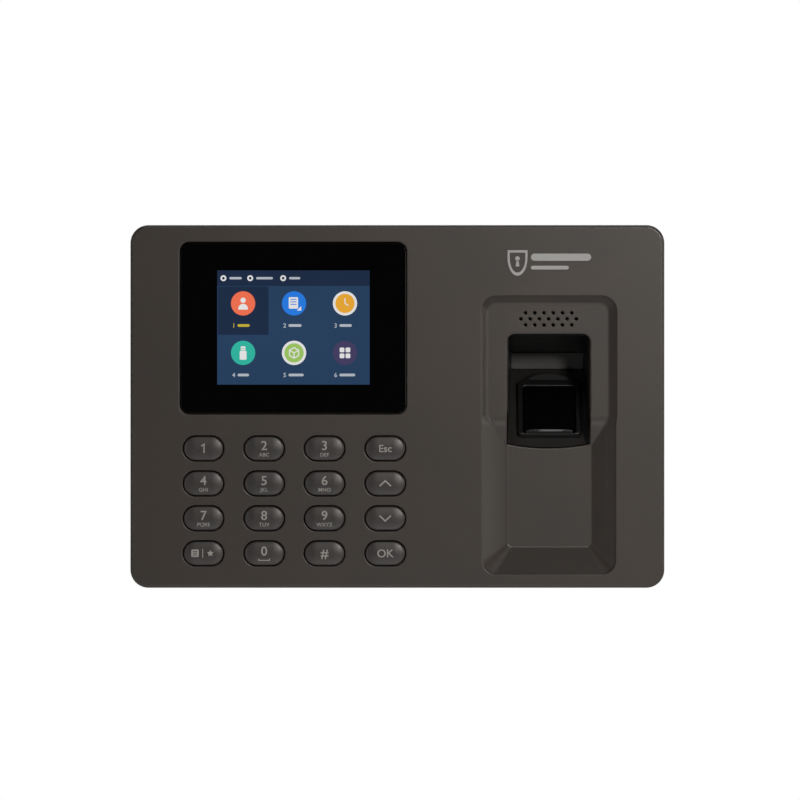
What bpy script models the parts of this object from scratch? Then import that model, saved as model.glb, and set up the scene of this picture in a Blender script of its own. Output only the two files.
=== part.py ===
"""Wall-mounted fingerprint scanner terminal, as an assembly of separate parts.

X runs to the right as seen from the front, Z runs up, and the front faces -Y. The origin is on the
wall plane, at the centre of the wall bracket. Dimensions are in millimetres, and MM turns them into
Blender's metres where a mesh is made.
"""

import math

import bmesh
import bpy
from mathutils import Matrix, Vector

MM = 0.001
GAP = 0.3

# Body, from front to back
BODY_WIDTH = 171.6
BODY_HEIGHT = 116.6
BODY_DEPTH = 38.0
CORNER = 5.8
RIM = 1.0
FACE_WALL = 3.2
SIDE_WALL = 2.4
HALF_WIDTH = BODY_WIDTH / 2
HALF_HEIGHT = BODY_HEIGHT / 2
FRONT = -BODY_DEPTH
FACE_BACK = FRONT + FACE_WALL
SPLIT = -15.0

# Rear cover and wall bracket
REAR_INSET = 0.9
REAR_FRONT = SPLIT + GAP
REAR_BACK = -GAP
LIP_DEPTH = 3.0
LIP_WALL = 1.6
BRACKET = 1.5
BRACKET_HALF_WIDTH = 60.0
BRACKET_TOP = 40.0
BRACKET_BOTTOM = -53.0
BRACKET_ANCHORS = ((-50, 35), (50, 35), (50, -34), (-50, -34))
ANCHOR_RADIUS = 2.3
RECESS_FLOOR = -(BRACKET + GAP)
RECESS_WALL = -4.2
BAY_X = (-48.5, 18.5)
BAY_Z = (8.0, 28.0)
BAY_FLOOR = -7.6
CONNECTOR_FACE = -6.3
ETHERNET_HALF = (8.1, 6.9)
DC_HALF = (4.5, 4.5)
TERMINAL_HALF = (14.4, 4.4)
TERMINAL_PITCH = 3.5
USB_HALF_HEIGHT = 6.6
USB_Y = (-24.9, -17.9)

# Display
WINDOW_X = (-69.85, 2.92)
WINDOW_Z = (-2.44, 52.8)
WINDOW_CORNER = 3.0
WINDOW_FRONT = FRONT + 0.05
WINDOW_BACK = WINDOW_FRONT + 1.6
ACTIVE_X = (-57.9, -8.9)
ACTIVE_Z = (7.0, 43.7)
PANEL_BORDER = (4.5, 6.4, 4.5, 2.7)
PANEL_THICKNESS = 2.2

# Keypad
COLUMNS = (-62.3, -42.8, -23.4, -3.9)
ROWS = (-13.5, -24.75, -35.95, -47.2)
KEY_NAMES = (
    ("key_1", "key_2", "key_3", "key_esc"),
    ("key_4", "key_5", "key_6", "key_up"),
    ("key_7", "key_8", "key_9", "key_down"),
    ("key_star", "key_0", "key_hash", "key_ok"),
)
KEY_WIDTH = 12.7
KEY_HEIGHT = 7.7
KEY_PROUD = 1.0
KEY_GAP = 0.4
KEY_FLANGE = 1.1
KEY_CROWN = ((0.0, 0.95), (0.2, 0.5), (0.75, 0.2), (1.7, 0.0))
FLANGE_FRONT = FACE_BACK + GAP
FLANGE_BACK = FLANGE_FRONT + 0.9
MAT_DOME_FRONT = FLANGE_BACK + GAP
MAT_FRONT = MAT_DOME_FRONT + 1.9
MAT_BACK = MAT_FRONT + 1.0
KEYPAD_BOARD_FRONT = MAT_BACK + GAP
BOARD = 1.6

# Sensor bay in the face
UPPER_FLOOR = FRONT + 2.4
UPPER_FLOOR_RECT = (28.8, 68.0, -6.0, 33.2)
UPPER_MOUTH_RECT = (26.8, 70.7, -8.0, 35.8)
LOWER_FLOOR = FRONT + 6.0
CHANNEL_BACK = LOWER_FLOOR + 2.4
LOWER_FLOOR_RECT = (35.4, 62.5, -45.3, -12.4)
LOWER_MOUTH_RECT = (27.0, 70.4, -54.2, 1.0)
OPENING_X = (35.3, 62.0)
OPENING_TOP = 23.3
OPENING_SIDE = -12.1
OPENING_SAG = 1.3
OPENING_CORNER = 2.6
GRILLE_X = 48.6
GRILLE_ROWS = ((30.1, 6), (28.15, 7), (26.2, 6))
GRILLE_PITCH = 2.97
GRILLE_RADIUS = 0.55

# Sensor module, tilted with its window facing forwards and up
TILT = math.radians(-45)
SENSOR_CENTRE = (49.05, -21.05, -0.95)
SLOPE_OFFSET = 18.6
CHAMBER_BACK = -6.6
ROOF_BACK = 17.5
ROOF_FRONT = 23.7
BEZEL_FRONT = UPPER_FLOOR + 2.2 + GAP
BEZEL_WALL = 1.1
GLASS_HALF_WIDTH = 8.35
GLASS_HALF_LENGTH = 10.2
MODULE_HALF_WIDTH = 10.2
MODULE_BOTTOM = -12.0
MODULE_SHOULDER = 11.5
MODULE_TOP = 16.5

# Boards and their screws
MAIN_BOARD_X = (-71.0, 24.0)
MAIN_BOARD_Z = (-46.0, 46.0)
MAIN_BOARD_FRONT = -17.6
MAIN_BOARD_BACK = MAIN_BOARD_FRONT + BOARD
ON_BOARD = MAIN_BOARD_BACK + GAP
CORNER_POSTS = ((-76.5, 49.5), (76.5, 49.5), (76.5, -49.5), (-76.5, -49.5))
BOARD_POSTS = ((-67.0, 42.0), (19.0, 42.0), (19.0, -42.0), (-67.0, 0.0))
KEYPAD_POSTS = ((-52.55, -19.1), (-13.65, -19.1), (-13.65, -41.6), (-52.55, -41.6))
POST_TOP = -12.3
ETHERNET_X = 8.0
DC_X = -9.0
TERMINAL_X = -32.0
CONNECTOR_Z = 18.0
TAMPER = (-54.0, -20.0)
TAMPER_SWITCH_BACK = -9.7
PLUNGER_RADIUS = 1.4
COIN_CELL = (-2.0, -30.0)
COIN_CELL_RADIUS = 10.0
COIN_HOLDER_RADIUS = 11.6
COIN_HOLDER_BACK = -11.7
LOCK_SCREW_Y = -6.0
HOOK_X = 55.5
HOOK_Z = 20.0
HOOK_HALF_WIDTH = 3.8
HOOK_REACH = -6.2
HOOK_CLEARANCE = 0.6


# ---------------------------------------------------------------- helpers


def clear_scene():
    for obj in list(bpy.data.objects):
        bpy.data.objects.remove(obj, do_unlink=True)


def collection(name):
    made = bpy.data.collections.new(name)
    bpy.context.scene.collection.children.link(made)
    return made


def material(name, colour, roughness, metallic=0.0):
    made = bpy.data.materials.new(name)
    made.use_nodes = True
    shader = made.node_tree.nodes["Principled BSDF"]
    shader.inputs["Base Color"].default_value = (*colour, 1.0)
    shader.inputs["Roughness"].default_value = roughness
    shader.inputs["Metallic"].default_value = metallic
    return made


def edges_along(verts, axis):
    """The edges between these vertices that run along one axis (0, 1 or 2) of the box they form."""
    found = {edge for vert in verts for edge in vert.link_edges}
    spans = [(edge, edge.verts[0].co - edge.verts[1].co) for edge in found]
    return [edge for edge, span in spans if abs(span[axis]) == max(map(abs, span))]


def round_edges(bm, edges, radius, segments):
    bmesh.ops.bevel(
        bm,
        geom=edges,
        offset=radius * MM,
        segments=segments,
        profile=0.5,
        affect="EDGES",
    )


def add_slab(bm, x, y, z, corner=0.0, segments=4, axis=1):
    """A box between three pairs of limits. The four edges along axis are rounded."""
    verts = bmesh.ops.create_cube(bm, size=1.0)["verts"]
    for vert in verts:
        for index, limits in enumerate((x, y, z)):
            vert.co[index] = limits[vert.co[index] > 0] * MM
    if corner:
        round_edges(bm, edges_along(verts, axis), corner, segments)


def add_rod(bm, centre, radius, limits, axis=1, sides=16, far_radius=None):
    """A round bar along axis between two limits. centre gives the other two coordinates."""
    turn = (Matrix.Rotation(math.pi / 2, 4, "Y"), Matrix.Rotation(-math.pi / 2, 4, "X"), Matrix())[axis]
    place = list(centre)
    place.insert(axis, (limits[0] + limits[1]) / 2)
    bmesh.ops.create_cone(
        bm,
        cap_ends=True,
        segments=sides,
        radius1=radius * MM,
        radius2=(radius if far_radius is None else far_radius) * MM,
        depth=(limits[1] - limits[0]) * MM,
        matrix=Matrix.Translation(Vector(place) * MM) @ turn,
    )


def add_funnel(bm, floor_rect, mouth_rect, floor_y, mouth_y, overshoot, corner, segments):
    """A four-sided recess with sloping walls, carried past its mouth by overshoot."""
    verts = bmesh.ops.create_cube(bm, size=1.0)["verts"]
    reach = 1 + overshoot / (floor_y - mouth_y)
    outer = [low + (high - low) * reach for low, high in zip(floor_rect, mouth_rect)]
    for vert in verts:
        rect = floor_rect if vert.co.y > 0 else outer
        x = rect[vert.co.x > 0]
        z = rect[2 + (vert.co.z > 0)]
        y = floor_y if vert.co.y > 0 else mouth_y - overshoot
        vert.co = Vector((x, y, z)) * MM
    sides = [edge for edge in {e for v in verts for e in v.link_edges} if edge_crosses(edge, floor_y)]
    round_edges(bm, sides, corner, segments)


def edge_crosses(edge, level_y):
    """True for an edge with exactly one end on the plane y = level_y."""
    return sum(abs(vert.co.y - level_y * MM) < 1e-7 for vert in edge.verts) == 1


def round_rim(bm, axis, level, radius, segments):
    """Rounds the outline of the flat face at one level along axis."""
    rim = [e for e in bm.edges if all(abs(v.co[axis] - level * MM) < 1e-7 for v in e.verts)]
    round_edges(bm, rim, radius, segments)


def make_object(name, bm, origin, group):
    """An object from bm, which is drawn in the assembly's frame, with its own origin."""
    centre = Vector(origin) * MM
    bmesh.ops.translate(bm, verts=bm.verts, vec=-centre)
    bmesh.ops.recalc_face_normals(bm, faces=bm.faces)
    mesh = bpy.data.meshes.new(name)
    bm.to_mesh(mesh)
    bm.free()
    obj = bpy.data.objects.new(name, mesh)
    obj.location = centre
    group.objects.link(obj)
    return obj


def shade_round(mesh):
    mesh.shade_smooth()
    mesh.set_sharp_from_angle(angle=math.radians(30))


def part(name, bm, look, origin=(0, 0, 0)):
    obj = make_object(name, bm, origin, PARTS)
    obj.data.materials.append(look)
    shade_round(obj.data)
    return obj


def tool(name, bm):
    obj = make_object(name, bm, (0, 0, 0), TOOLS)
    obj.hide_render = True
    obj.display_type = "WIRE"
    return obj


def slab_part(name, look, x, y, z, corner=0.0, segments=4, axis=1):
    bm = bmesh.new()
    add_slab(bm, x, y, z, corner, segments, axis)
    return part(name, bm, look, origin=[sum(limits) / 2 for limits in (x, y, z)])


def slab_tool(name, x, y, z, corner=0.0, segments=4, axis=1):
    bm = bmesh.new()
    add_slab(bm, x, y, z, corner, segments, axis)
    return tool(name, bm)


def rods_tool(name, places, radius, limits, sides=12):
    bm = bmesh.new()
    for x, z in places:
        add_rod(bm, (x, z), radius, limits, sides=sides)
    return tool(name, bm)


def combine(obj, operation, *others):
    for other in others:
        modifier = obj.modifiers.new(other.name, "BOOLEAN")
        modifier.operation = operation
        modifier.solver = "EXACT"
        modifier.object = other


def cut(obj, *tools):
    combine(obj, "DIFFERENCE", *tools)


def fuse(obj, *tools):
    combine(obj, "UNION", *tools)


def evaluated_mesh(obj):
    """The object's mesh with its modifiers applied. The object itself is removed."""
    graph = bpy.context.evaluated_depsgraph_get()
    mesh = bpy.data.meshes.new_from_object(obj.evaluated_get(graph))
    bpy.data.objects.remove(obj, do_unlink=True)
    return mesh


def outline_mesh(points, thickness):
    """A flat outline in its own XY plane, filled and given a thickness along its Z."""
    curve = bpy.data.curves.new("outline", "CURVE")
    curve.dimensions = "2D"
    curve.fill_mode = "BOTH"
    curve.extrude = thickness / 2 * MM
    spline = curve.splines.new("POLY")
    spline.points.add(len(points) - 1)
    for point, (x, y) in zip(spline.points, points):
        point.co = (x * MM, y * MM, 0, 1)
    spline.use_cyclic_u = True
    obj = bpy.data.objects.new("outline", curve)
    TOOLS.objects.link(obj)
    mesh = evaluated_mesh(obj)
    bpy.data.curves.remove(curve)
    return mesh


def outline_bmesh(points, limits, axis):
    """A prism along axis (0 or 1). Points are (y, z) for axis 0 and (x, z) for axis 1."""
    bm = bmesh.new()
    mesh = outline_mesh(points, limits[1] - limits[0])
    bm.from_mesh(mesh)
    bpy.data.meshes.remove(mesh)
    bmesh.ops.remove_doubles(bm, verts=bm.verts, dist=1e-7)
    middle = (limits[0] + limits[1]) / 2 * MM
    for vert in bm.verts:
        across, up, along = vert.co
        vert.co = (along + middle, across, up) if axis == 0 else (across, along + middle, up)
    return bm


def arc(centre, radius, start, end, count):
    """Points on a circle between two angles in degrees."""
    angles = [math.radians(start + (end - start) * i / count) for i in range(count + 1)]
    return [(centre[0] + radius * math.cos(a), centre[1] + radius * math.sin(a)) for a in angles]


# ---------------------------------------------------------------- casing


def opening_outline(inset, top):
    """The sensor opening: square sides, rounded upper corners and a bottom edge that sags."""
    low, high = OPENING_X[0] + inset, OPENING_X[1] - inset
    middle = (low + high) / 2
    half = (high - low) / 2
    radius = (half**2 + OPENING_SAG**2) / (2 * OPENING_SAG)
    spread = math.degrees(math.asin(half / radius))
    centre = (middle, OPENING_SIDE - OPENING_SAG + inset + radius)
    bottom = arc(centre, radius, 270 - spread, 270 + spread, 8)
    corner = OPENING_CORNER
    right = arc((high - corner, top - corner), corner, 0, 90, 5)
    left = arc((low + corner, top - corner), corner, 90, 180, 5)
    return bottom + right + left


def key_wells():
    bm = bmesh.new()
    half_x = KEY_WIDTH / 2 + KEY_GAP
    half_z = KEY_HEIGHT / 2 + KEY_GAP
    for z in ROWS:
        for x in COLUMNS:
            limits_x = (x - half_x, x + half_x)
            limits_z = (z - half_z, z + half_z)
            add_slab(bm, limits_x, (FRONT - 2, FACE_BACK + 1), limits_z, half_z - 0.05, 5)
    return tool("key_wells", bm)


def grille_holes():
    places = []
    for z, count in GRILLE_ROWS:
        start = GRILLE_X - GRILLE_PITCH * (count - 1) / 2
        places += [(start + GRILLE_PITCH * i, z) for i in range(count)]
    return rods_tool("grille_holes", places, GRILLE_RADIUS, (FRONT - 1, UPPER_FLOOR + 4), sides=8)


def bay_recesses():
    upper = bmesh.new()
    add_funnel(upper, UPPER_FLOOR_RECT, UPPER_MOUTH_RECT, UPPER_FLOOR, FRONT, 1.0, 3.5, 4)
    lower = bmesh.new()
    add_funnel(lower, LOWER_FLOOR_RECT, LOWER_MOUTH_RECT, LOWER_FLOOR, FRONT, 1.0, 2.6, 4)
    return tool("upper_recess", upper), tool("finger_channel", lower)


def posts():
    """Screw posts that stand on the back of the front cover's face."""
    bm = bmesh.new()
    for places, radius, top in (
        (CORNER_POSTS, 3.5, POST_TOP),
        (BOARD_POSTS, 2.6, MAIN_BOARD_FRONT - GAP),
        (KEYPAD_POSTS, 1.9, KEYPAD_BOARD_FRONT - GAP),
    ):
        for x, z in places:
            add_rod(bm, (x, z), radius, (FACE_BACK - 1, top), sides=14)
    return tool("posts", bm)


def front_cover(look):
    bm = bmesh.new()
    add_slab(
        bm, (-HALF_WIDTH, HALF_WIDTH), (FRONT, SPLIT), (-HALF_HEIGHT, HALF_HEIGHT), CORNER, 6
    )
    round_rim(bm, 1, FRONT, RIM, 2)
    cover = part("front_cover", bm, look)
    inner_x = HALF_WIDTH - SIDE_WALL
    inner_z = HALF_HEIGHT - SIDE_WALL
    cavity = slab_tool(
        "front_cavity", (-inner_x, inner_x), (FACE_BACK, 0), (-inner_z, inner_z), CORNER - SIDE_WALL
    )
    cut(cover, cavity)
    low = slab_tool("channel_backing", (24.4, 72.6), (FACE_BACK - 1.2, CHANNEL_BACK), (-57.1, -2.0))
    high = slab_tool("bay_backing", (24.0, 73.0), (FACE_BACK - 1.6, UPPER_FLOOR + 2.2), (-8, 38.4))
    fuse(cover, low, high, posts())
    x0, x1 = WINDOW_X
    z0, z1 = WINDOW_Z
    window_pocket = slab_tool(
        "window_pocket",
        (x0 - GAP, x1 + GAP),
        (FRONT - 1, WINDOW_BACK + GAP),
        (z0 - GAP, z1 + GAP),
        WINDOW_CORNER + GAP,
    )
    display_hole = slab_tool(
        "display_hole",
        (ACTIVE_X[0] - 1, ACTIVE_X[1] + 1),
        (WINDOW_BACK - 1, FACE_BACK + 1),
        (ACTIVE_Z[0] - 1, ACTIVE_Z[1] + 1),
    )
    opening = tool("sensor_opening", outline_bmesh(opening_outline(0, OPENING_TOP), (-37, -28), 1))
    usb_hole = slab_tool(
        "usb_hole",
        (-HALF_WIDTH - 1, -HALF_WIDTH + 4),
        (USB_Y[0] - 0.5, USB_Y[1] + 0.4),
        (-USB_HALF_HEIGHT - 0.4, USB_HALF_HEIGHT + 0.4),
    )
    cut(cover, window_pocket, display_hole, key_wells(), *bay_recesses(), opening, grille_holes())
    cut(
        cover,
        rods_tool("corner_bores", CORNER_POSTS, 1.6, (-24, POST_TOP + 1)),
        rods_tool("board_bores", BOARD_POSTS, 1.4, (-26, MAIN_BOARD_FRONT + 1)),
        rods_tool("keypad_bores", KEYPAD_POSTS, 1.0, (-34, KEYPAD_BOARD_FRONT + 1), sides=8),
        usb_hole,
    )
    return cover


def rear_cover(look):
    half_x = HALF_WIDTH - REAR_INSET
    half_z = HALF_HEIGHT - REAR_INSET
    bm = bmesh.new()
    add_slab(bm, (-half_x, half_x), (REAR_FRONT, REAR_BACK), (-half_z, half_z), CORNER - REAR_INSET, 6)
    round_rim(bm, 1, REAR_BACK, 1.2, 2)
    cover = part("rear_cover", bm, look)
    lip_x = HALF_WIDTH - SIDE_WALL - GAP
    lip_z = HALF_HEIGHT - SIDE_WALL - GAP
    lip = slab_tool(
        "lip", (-lip_x, lip_x), (REAR_FRONT - LIP_DEPTH, REAR_FRONT + 2), (-lip_z, lip_z), 3.1
    )
    fuse(cover, lip)
    room_x = lip_x - LIP_WALL
    room_z = lip_z - LIP_WALL
    room = slab_tool("rear_cavity", (-room_x, room_x), (-30, -2.5), (-room_z, room_z), 2.0)
    cut(cover, room)
    recess_wall = slab_tool("recess_wall", (-62.2, 62.2), (RECESS_WALL, -1.0), (-55.5, 42.2))
    bay_wall = slab_tool(
        "bay_wall",
        (BAY_X[0] - 1.8, BAY_X[1] + 1.8),
        (BAY_FLOOR - 1.6, -2.0),
        (BAY_Z[0] - 1.8, BAY_Z[1] + 1.8),
    )
    bosses = rods_tool("bosses", CORNER_POSTS, 4.2, (POST_TOP + GAP, -1.5), sides=16)
    fuse(cover, recess_wall, bay_wall, bosses)
    wide = BRACKET_HALF_WIDTH + GAP
    recess = slab_tool(
        "bracket_recess",
        (-wide, wide),
        (RECESS_FLOOR, 1),
        (BRACKET_BOTTOM - GAP, BRACKET_TOP + GAP),
        3.0,
        3,
    )
    bay = slab_tool("connector_bay", BAY_X, (BAY_FLOOR, 1), BAY_Z, 1.5, 2)
    cut(cover, recess, bay, connector_holes(), hook_slots(), flange_slot())
    cut(
        cover,
        rods_tool("boss_bores", CORNER_POSTS, 1.7, (-20, 1)),
        rods_tool("boss_counterbores", CORNER_POSTS, 3.2, (-8.5, 1), sides=16),
        rods_tool("tamper_hole", (TAMPER,), PLUNGER_RADIUS + 0.5, (-8, 1)),
        lock_screw_hole(),
    )
    return cover


def connector_holes():
    """The places in the bay's floor where the connectors come through."""
    bm = bmesh.new()
    for x, half_x, half_z in (
        (ETHERNET_X, *ETHERNET_HALF),
        (DC_X, *DC_HALF),
        (TERMINAL_X, *TERMINAL_HALF),
    ):
        reach_x = half_x + GAP
        reach_z = half_z + GAP
        limits_z = (CONNECTOR_Z - reach_z, CONNECTOR_Z + reach_z)
        add_slab(bm, (x - reach_x, x + reach_x), (-12, BAY_FLOOR + 1), limits_z)
    return tool("connector_holes", bm)


def hook_slots():
    bm = bmesh.new()
    top = HOOK_Z + BRACKET + GAP
    for side in (-1, 1):
        reach = HOOK_HALF_WIDTH + HOOK_CLEARANCE
        limits_x = (side * HOOK_X - reach, side * HOOK_X + reach)
        add_slab(bm, limits_x, (-8, 1), (top - 6.0, top))
    return tool("hook_slots", bm)


def flange_slot():
    return slab_tool("flange_slot", (-8.6, 8.6), (-7, 1), (BRACKET_BOTTOM - 0.4, BRACKET_BOTTOM + 2.2))


def lock_screw_hole():
    bm = bmesh.new()
    add_rod(bm, (0, LOCK_SCREW_Y), 1.7, (-60, -52), axis=2, sides=12)
    low = tool("lock_screw_hole", bm)
    bm = bmesh.new()
    add_rod(bm, (0, LOCK_SCREW_Y), 3.2, (-60, -55.7), axis=2, sides=16)
    fuse(low, tool("lock_screw_counterbore", bm))
    return low


def wall_bracket(look):
    """A folded steel plate: two hooks near the top and a flange for the lock screw below."""
    bm = bmesh.new()
    wide = BRACKET_HALF_WIDTH
    add_slab(bm, (-wide, wide), (-BRACKET, 0), (BRACKET_BOTTOM, BRACKET_TOP), 2.7, 3)
    plate = part("wall_bracket", bm, look)
    cable_hole = slab_tool("cable_hole", (-50, 20), (-3, 1), (6, 30), 3.0, 3)
    anchors = rods_tool("anchor_holes", BRACKET_ANCHORS, ANCHOR_RADIUS, (-3, 1))
    cut(plate, cable_hole, anchors)
    for side in (-1, 1):
        x = (side * HOOK_X - HOOK_HALF_WIDTH, side * HOOK_X + HOOK_HALF_WIDTH)
        name = "hook_left" if side < 0 else "hook_right"
        shelf = slab_tool(name, x, (HOOK_REACH, -0.6), (HOOK_Z, HOOK_Z + BRACKET))
        catch_y = (HOOK_REACH, HOOK_REACH + 1.3)
        catch = slab_tool(name + "_catch", x, catch_y, (HOOK_Z + 0.5, HOOK_Z + 5.5))
        fuse(plate, shelf, catch)
    flange = slab_tool("flange", (-8, 8), (-9.5, -0.6), (BRACKET_BOTTOM, BRACKET_BOTTOM + BRACKET))
    bm = bmesh.new()
    add_rod(bm, (0, LOCK_SCREW_Y), 1.7, (-56, -48), axis=2, sides=12)
    fuse(plate, flange)
    cut(plate, tool("flange_hole", bm))
    return plate


# ---------------------------------------------------------------- display


def display(glass, dark, steel):
    window = slab_part(
        "display_window", glass, WINDOW_X, (WINDOW_FRONT, WINDOW_BACK), WINDOW_Z, WINDOW_CORNER, 5
    )
    left, below, right, above = PANEL_BORDER
    panel_x = (ACTIVE_X[0] - left, ACTIVE_X[1] + right)
    panel_z = (ACTIVE_Z[0] - below, ACTIVE_Z[1] + above)
    front = FACE_BACK + GAP
    back = front + PANEL_THICKNESS
    panel = slab_part("lcd_panel", dark, panel_x, (front, back), panel_z)
    wall = 0.6
    outer_x = (panel_x[0] - GAP - wall, panel_x[1] + GAP + wall)
    outer_z = (panel_z[0] - GAP - wall, panel_z[1] + GAP + wall)
    tray = slab_part("lcd_frame", steel, outer_x, (front, back + GAP + 0.8), outer_z)
    pocket = slab_tool(
        "panel_pocket",
        (panel_x[0] - GAP, panel_x[1] + GAP),
        (front - 1, back + GAP),
        (panel_z[0] - GAP, panel_z[1] + GAP),
    )
    cut(tray, pocket)
    return window, panel, tray, back + GAP + 0.8 + GAP


def ribbon(name, look, middle, width, path, thickness=0.3):
    """A flat flexible cable: path is its centre line in the YZ plane."""
    upper = []
    lower = []
    for index, (y, z) in enumerate(path):
        before = path[max(index - 1, 0)]
        after = path[min(index + 1, len(path) - 1)]
        along = Vector((after[0] - before[0], after[1] - before[1])).normalized()
        upper.append((y - along.y * thickness / 2, z + along.x * thickness / 2))
        lower.append((y + along.y * thickness / 2, z - along.x * thickness / 2))
    limits = (middle - width / 2, middle + width / 2)
    return part(name, outline_bmesh(upper + lower[::-1], limits, 0), look)


def lcd_ribbon(look, start):
    """Folds from the back of the display down to the front of the main board."""
    radius = 4.2
    turn = start + 0.15 + radius
    end = MAIN_BOARD_FRONT - GAP - 0.15
    path = [(start + 0.15, 24.0), (start + 0.15, 8.0)]
    path += arc((turn, 8.0), radius, 180, 270, 5)[1:]
    path += arc((end - 3.0, 8.0 - radius - 3.0), 3.0, 90, 0, 4)
    path += [(end, -6.0)]
    return ribbon("lcd_ribbon", look, -33.0, 18.0, path)


# ---------------------------------------------------------------- keypad


def stadium(half_x, half_z, y, count=6):
    """A ring of points round a bar with fully round ends, at one depth."""
    flat = half_x - half_z
    right = arc((flat, 0), half_z, -90, 90, count)
    left = arc((-flat, 0), half_z, 90, 270, count)
    return [Vector((x, y, z)) * MM for x, z in right + left]


def key_mesh():
    """One key: a crowned cap that rises from the flange which keeps it in the face."""
    cap_front = FRONT - KEY_PROUD - FLANGE_FRONT
    sections = [(-KEY_FLANGE, FLANGE_BACK - FLANGE_FRONT), (-KEY_FLANGE, 0.0), (0.0, 0.0)]
    sections += [(inward, cap_front + behind) for inward, behind in KEY_CROWN]
    bm = bmesh.new()
    rings = []
    for inward, y in sections:
        points = stadium(KEY_WIDTH / 2 - inward, KEY_HEIGHT / 2 - inward, y)
        rings.append([bm.verts.new(point) for point in points])
    for ring, following in zip(rings, rings[1:]):
        for index in range(len(ring)):
            after = (index + 1) % len(ring)
            bm.faces.new((ring[index], ring[after], following[after], following[index]))
    bm.faces.new(rings[0])
    bm.faces.new(rings[-1])
    bmesh.ops.recalc_face_normals(bm, faces=bm.faces)
    mesh = bpy.data.meshes.new("key")
    bm.to_mesh(mesh)
    bm.free()
    shade_round(mesh)
    return mesh


def keys(look):
    mesh = key_mesh()
    mesh.materials.append(look)
    for z, names in zip(ROWS, KEY_NAMES):
        for x, name in zip(COLUMNS, names):
            obj = bpy.data.objects.new(name, mesh)
            obj.location = Vector((x, FLANGE_FRONT, z)) * MM
            PARTS.objects.link(obj)


def keypad_mat(look):
    """The silicone sheet under the keys, with one dome for each."""
    x = (COLUMNS[0] - 8.6, COLUMNS[-1] + 8.6)
    z = (ROWS[-1] - 5.9, ROWS[0] + 5.9)
    mat = slab_part("keypad_mat", look, x, (MAT_FRONT, MAT_BACK), z, 2.0, 2)
    bm = bmesh.new()
    for z in ROWS:
        for x in COLUMNS:
            limits = (MAT_DOME_FRONT, MAT_FRONT + 0.4)
            add_rod(bm, (x, z), 2.0, limits, sides=10, far_radius=3.2)
    fuse(mat, tool("domes", bm))
    cut(mat, rods_tool("mat_holes", KEYPAD_POSTS, 2.2, (MAT_FRONT - 3, MAT_BACK + 3), sides=12))
    return mat


def keypad_board(look):
    x = (COLUMNS[0] - 10.1, COLUMNS[-1] + 10.1)
    z = (ROWS[-1] - 6.3, ROWS[0] + 7.0)
    limits = (KEYPAD_BOARD_FRONT, KEYPAD_BOARD_FRONT + BOARD)
    board = slab_part("keypad_board", look, x, limits, z, 1.5, 2)
    cut(board, rods_tool("keypad_board_holes", KEYPAD_POSTS, 1.1, (-35, -20), sides=8))
    return board


# ---------------------------------------------------------------- sensor


def tilted(obj):
    """Turns a piece that is drawn upright about the sensor's centre to the window's tilt."""
    centre = Vector(SENSOR_CENTRE) * MM
    obj.location = centre
    obj.rotation_euler = (TILT, 0, 0)
    return obj


def tilted_slab(x, y, z, corner=0.0, segments=3):
    bm = bmesh.new()
    add_slab(bm, x, y, z, corner, segments)
    return bm


def module_outline(grow):
    """The reader's housing seen square on: straight sides and an arched hood above the window."""
    half = MODULE_HALF_WIDTH
    rise = MODULE_TOP - MODULE_SHOULDER
    radius = (half**2 + rise**2) / (2 * rise)
    spread = math.asin(half / radius)
    centre_z = MODULE_TOP - radius
    points = [(-half - grow, MODULE_BOTTOM - grow), (half + grow, MODULE_BOTTOM - grow)]
    steps = 12
    for index in range(steps + 1):
        angle = spread - 2 * spread * index / steps
        x = (half + grow) * math.sin(angle) / math.sin(spread)
        points.append((x, centre_z + (radius + grow) * math.cos(angle)))
    return points


def sensor_bezel(look):
    """The black chamber behind the opening: a sloping roof, a back wall and a 45 degree floor."""
    roof = BEZEL_WALL * 1.3
    back = CHAMBER_BACK + BEZEL_WALL + 0.2
    under = SLOPE_OFFSET - 2.0
    lip = LOWER_FLOOR + 0.4
    outer = [
        (BEZEL_FRONT, ROOF_FRONT + roof),
        (back, ROOF_BACK + roof),
        (back, back + under),
        (-29.0, -29.0 + under),
        (lip, -29.0 + under),
        (lip, lip + SLOPE_OFFSET + 0.5),
        (BEZEL_FRONT, lip + SLOPE_OFFSET + 2.0),
    ]
    x = (OPENING_X[0] + GAP, OPENING_X[1] - GAP)
    bezel = part("sensor_bezel", outline_bmesh(outer, x, 0), look)
    flange = slab_tool("bezel_flange", (33.2, 64.1), (BEZEL_FRONT, BEZEL_FRONT + 1.2), (-1.2, 25.3))
    fuse(bezel, flange)
    keep = outline_bmesh(opening_outline(GAP, 60), (-40, CHANNEL_BACK + 0.7), 1)
    behind = slab_tool("behind_face", (30, 70), (BEZEL_FRONT - 0.7, 0), (-1.6, 40))
    below = slab_tool("below_face", (30, 70), (CHANNEL_BACK + GAP, 0), (-40, 40))
    room = tool("bezel_room", keep)
    fuse(room, behind, below)
    combine(bezel, "INTERSECT", room)
    inner = [
        (BEZEL_FRONT - 3, ROOF_FRONT + 1.0),
        (CHAMBER_BACK, ROOF_BACK),
        (CHAMBER_BACK, CHAMBER_BACK + SLOPE_OFFSET),
        (-45.0, -45.0 + SLOPE_OFFSET),
    ]
    chamber = outline_bmesh(inner, (x[0] + BEZEL_WALL, x[1] - BEZEL_WALL), 0)
    module_hole = tilted(tool("module_hole", outline_bmesh(module_outline(GAP), (-6, 12), 1)))
    cut(bezel, tool("sensor_chamber", chamber), module_hole)
    return bezel


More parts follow.
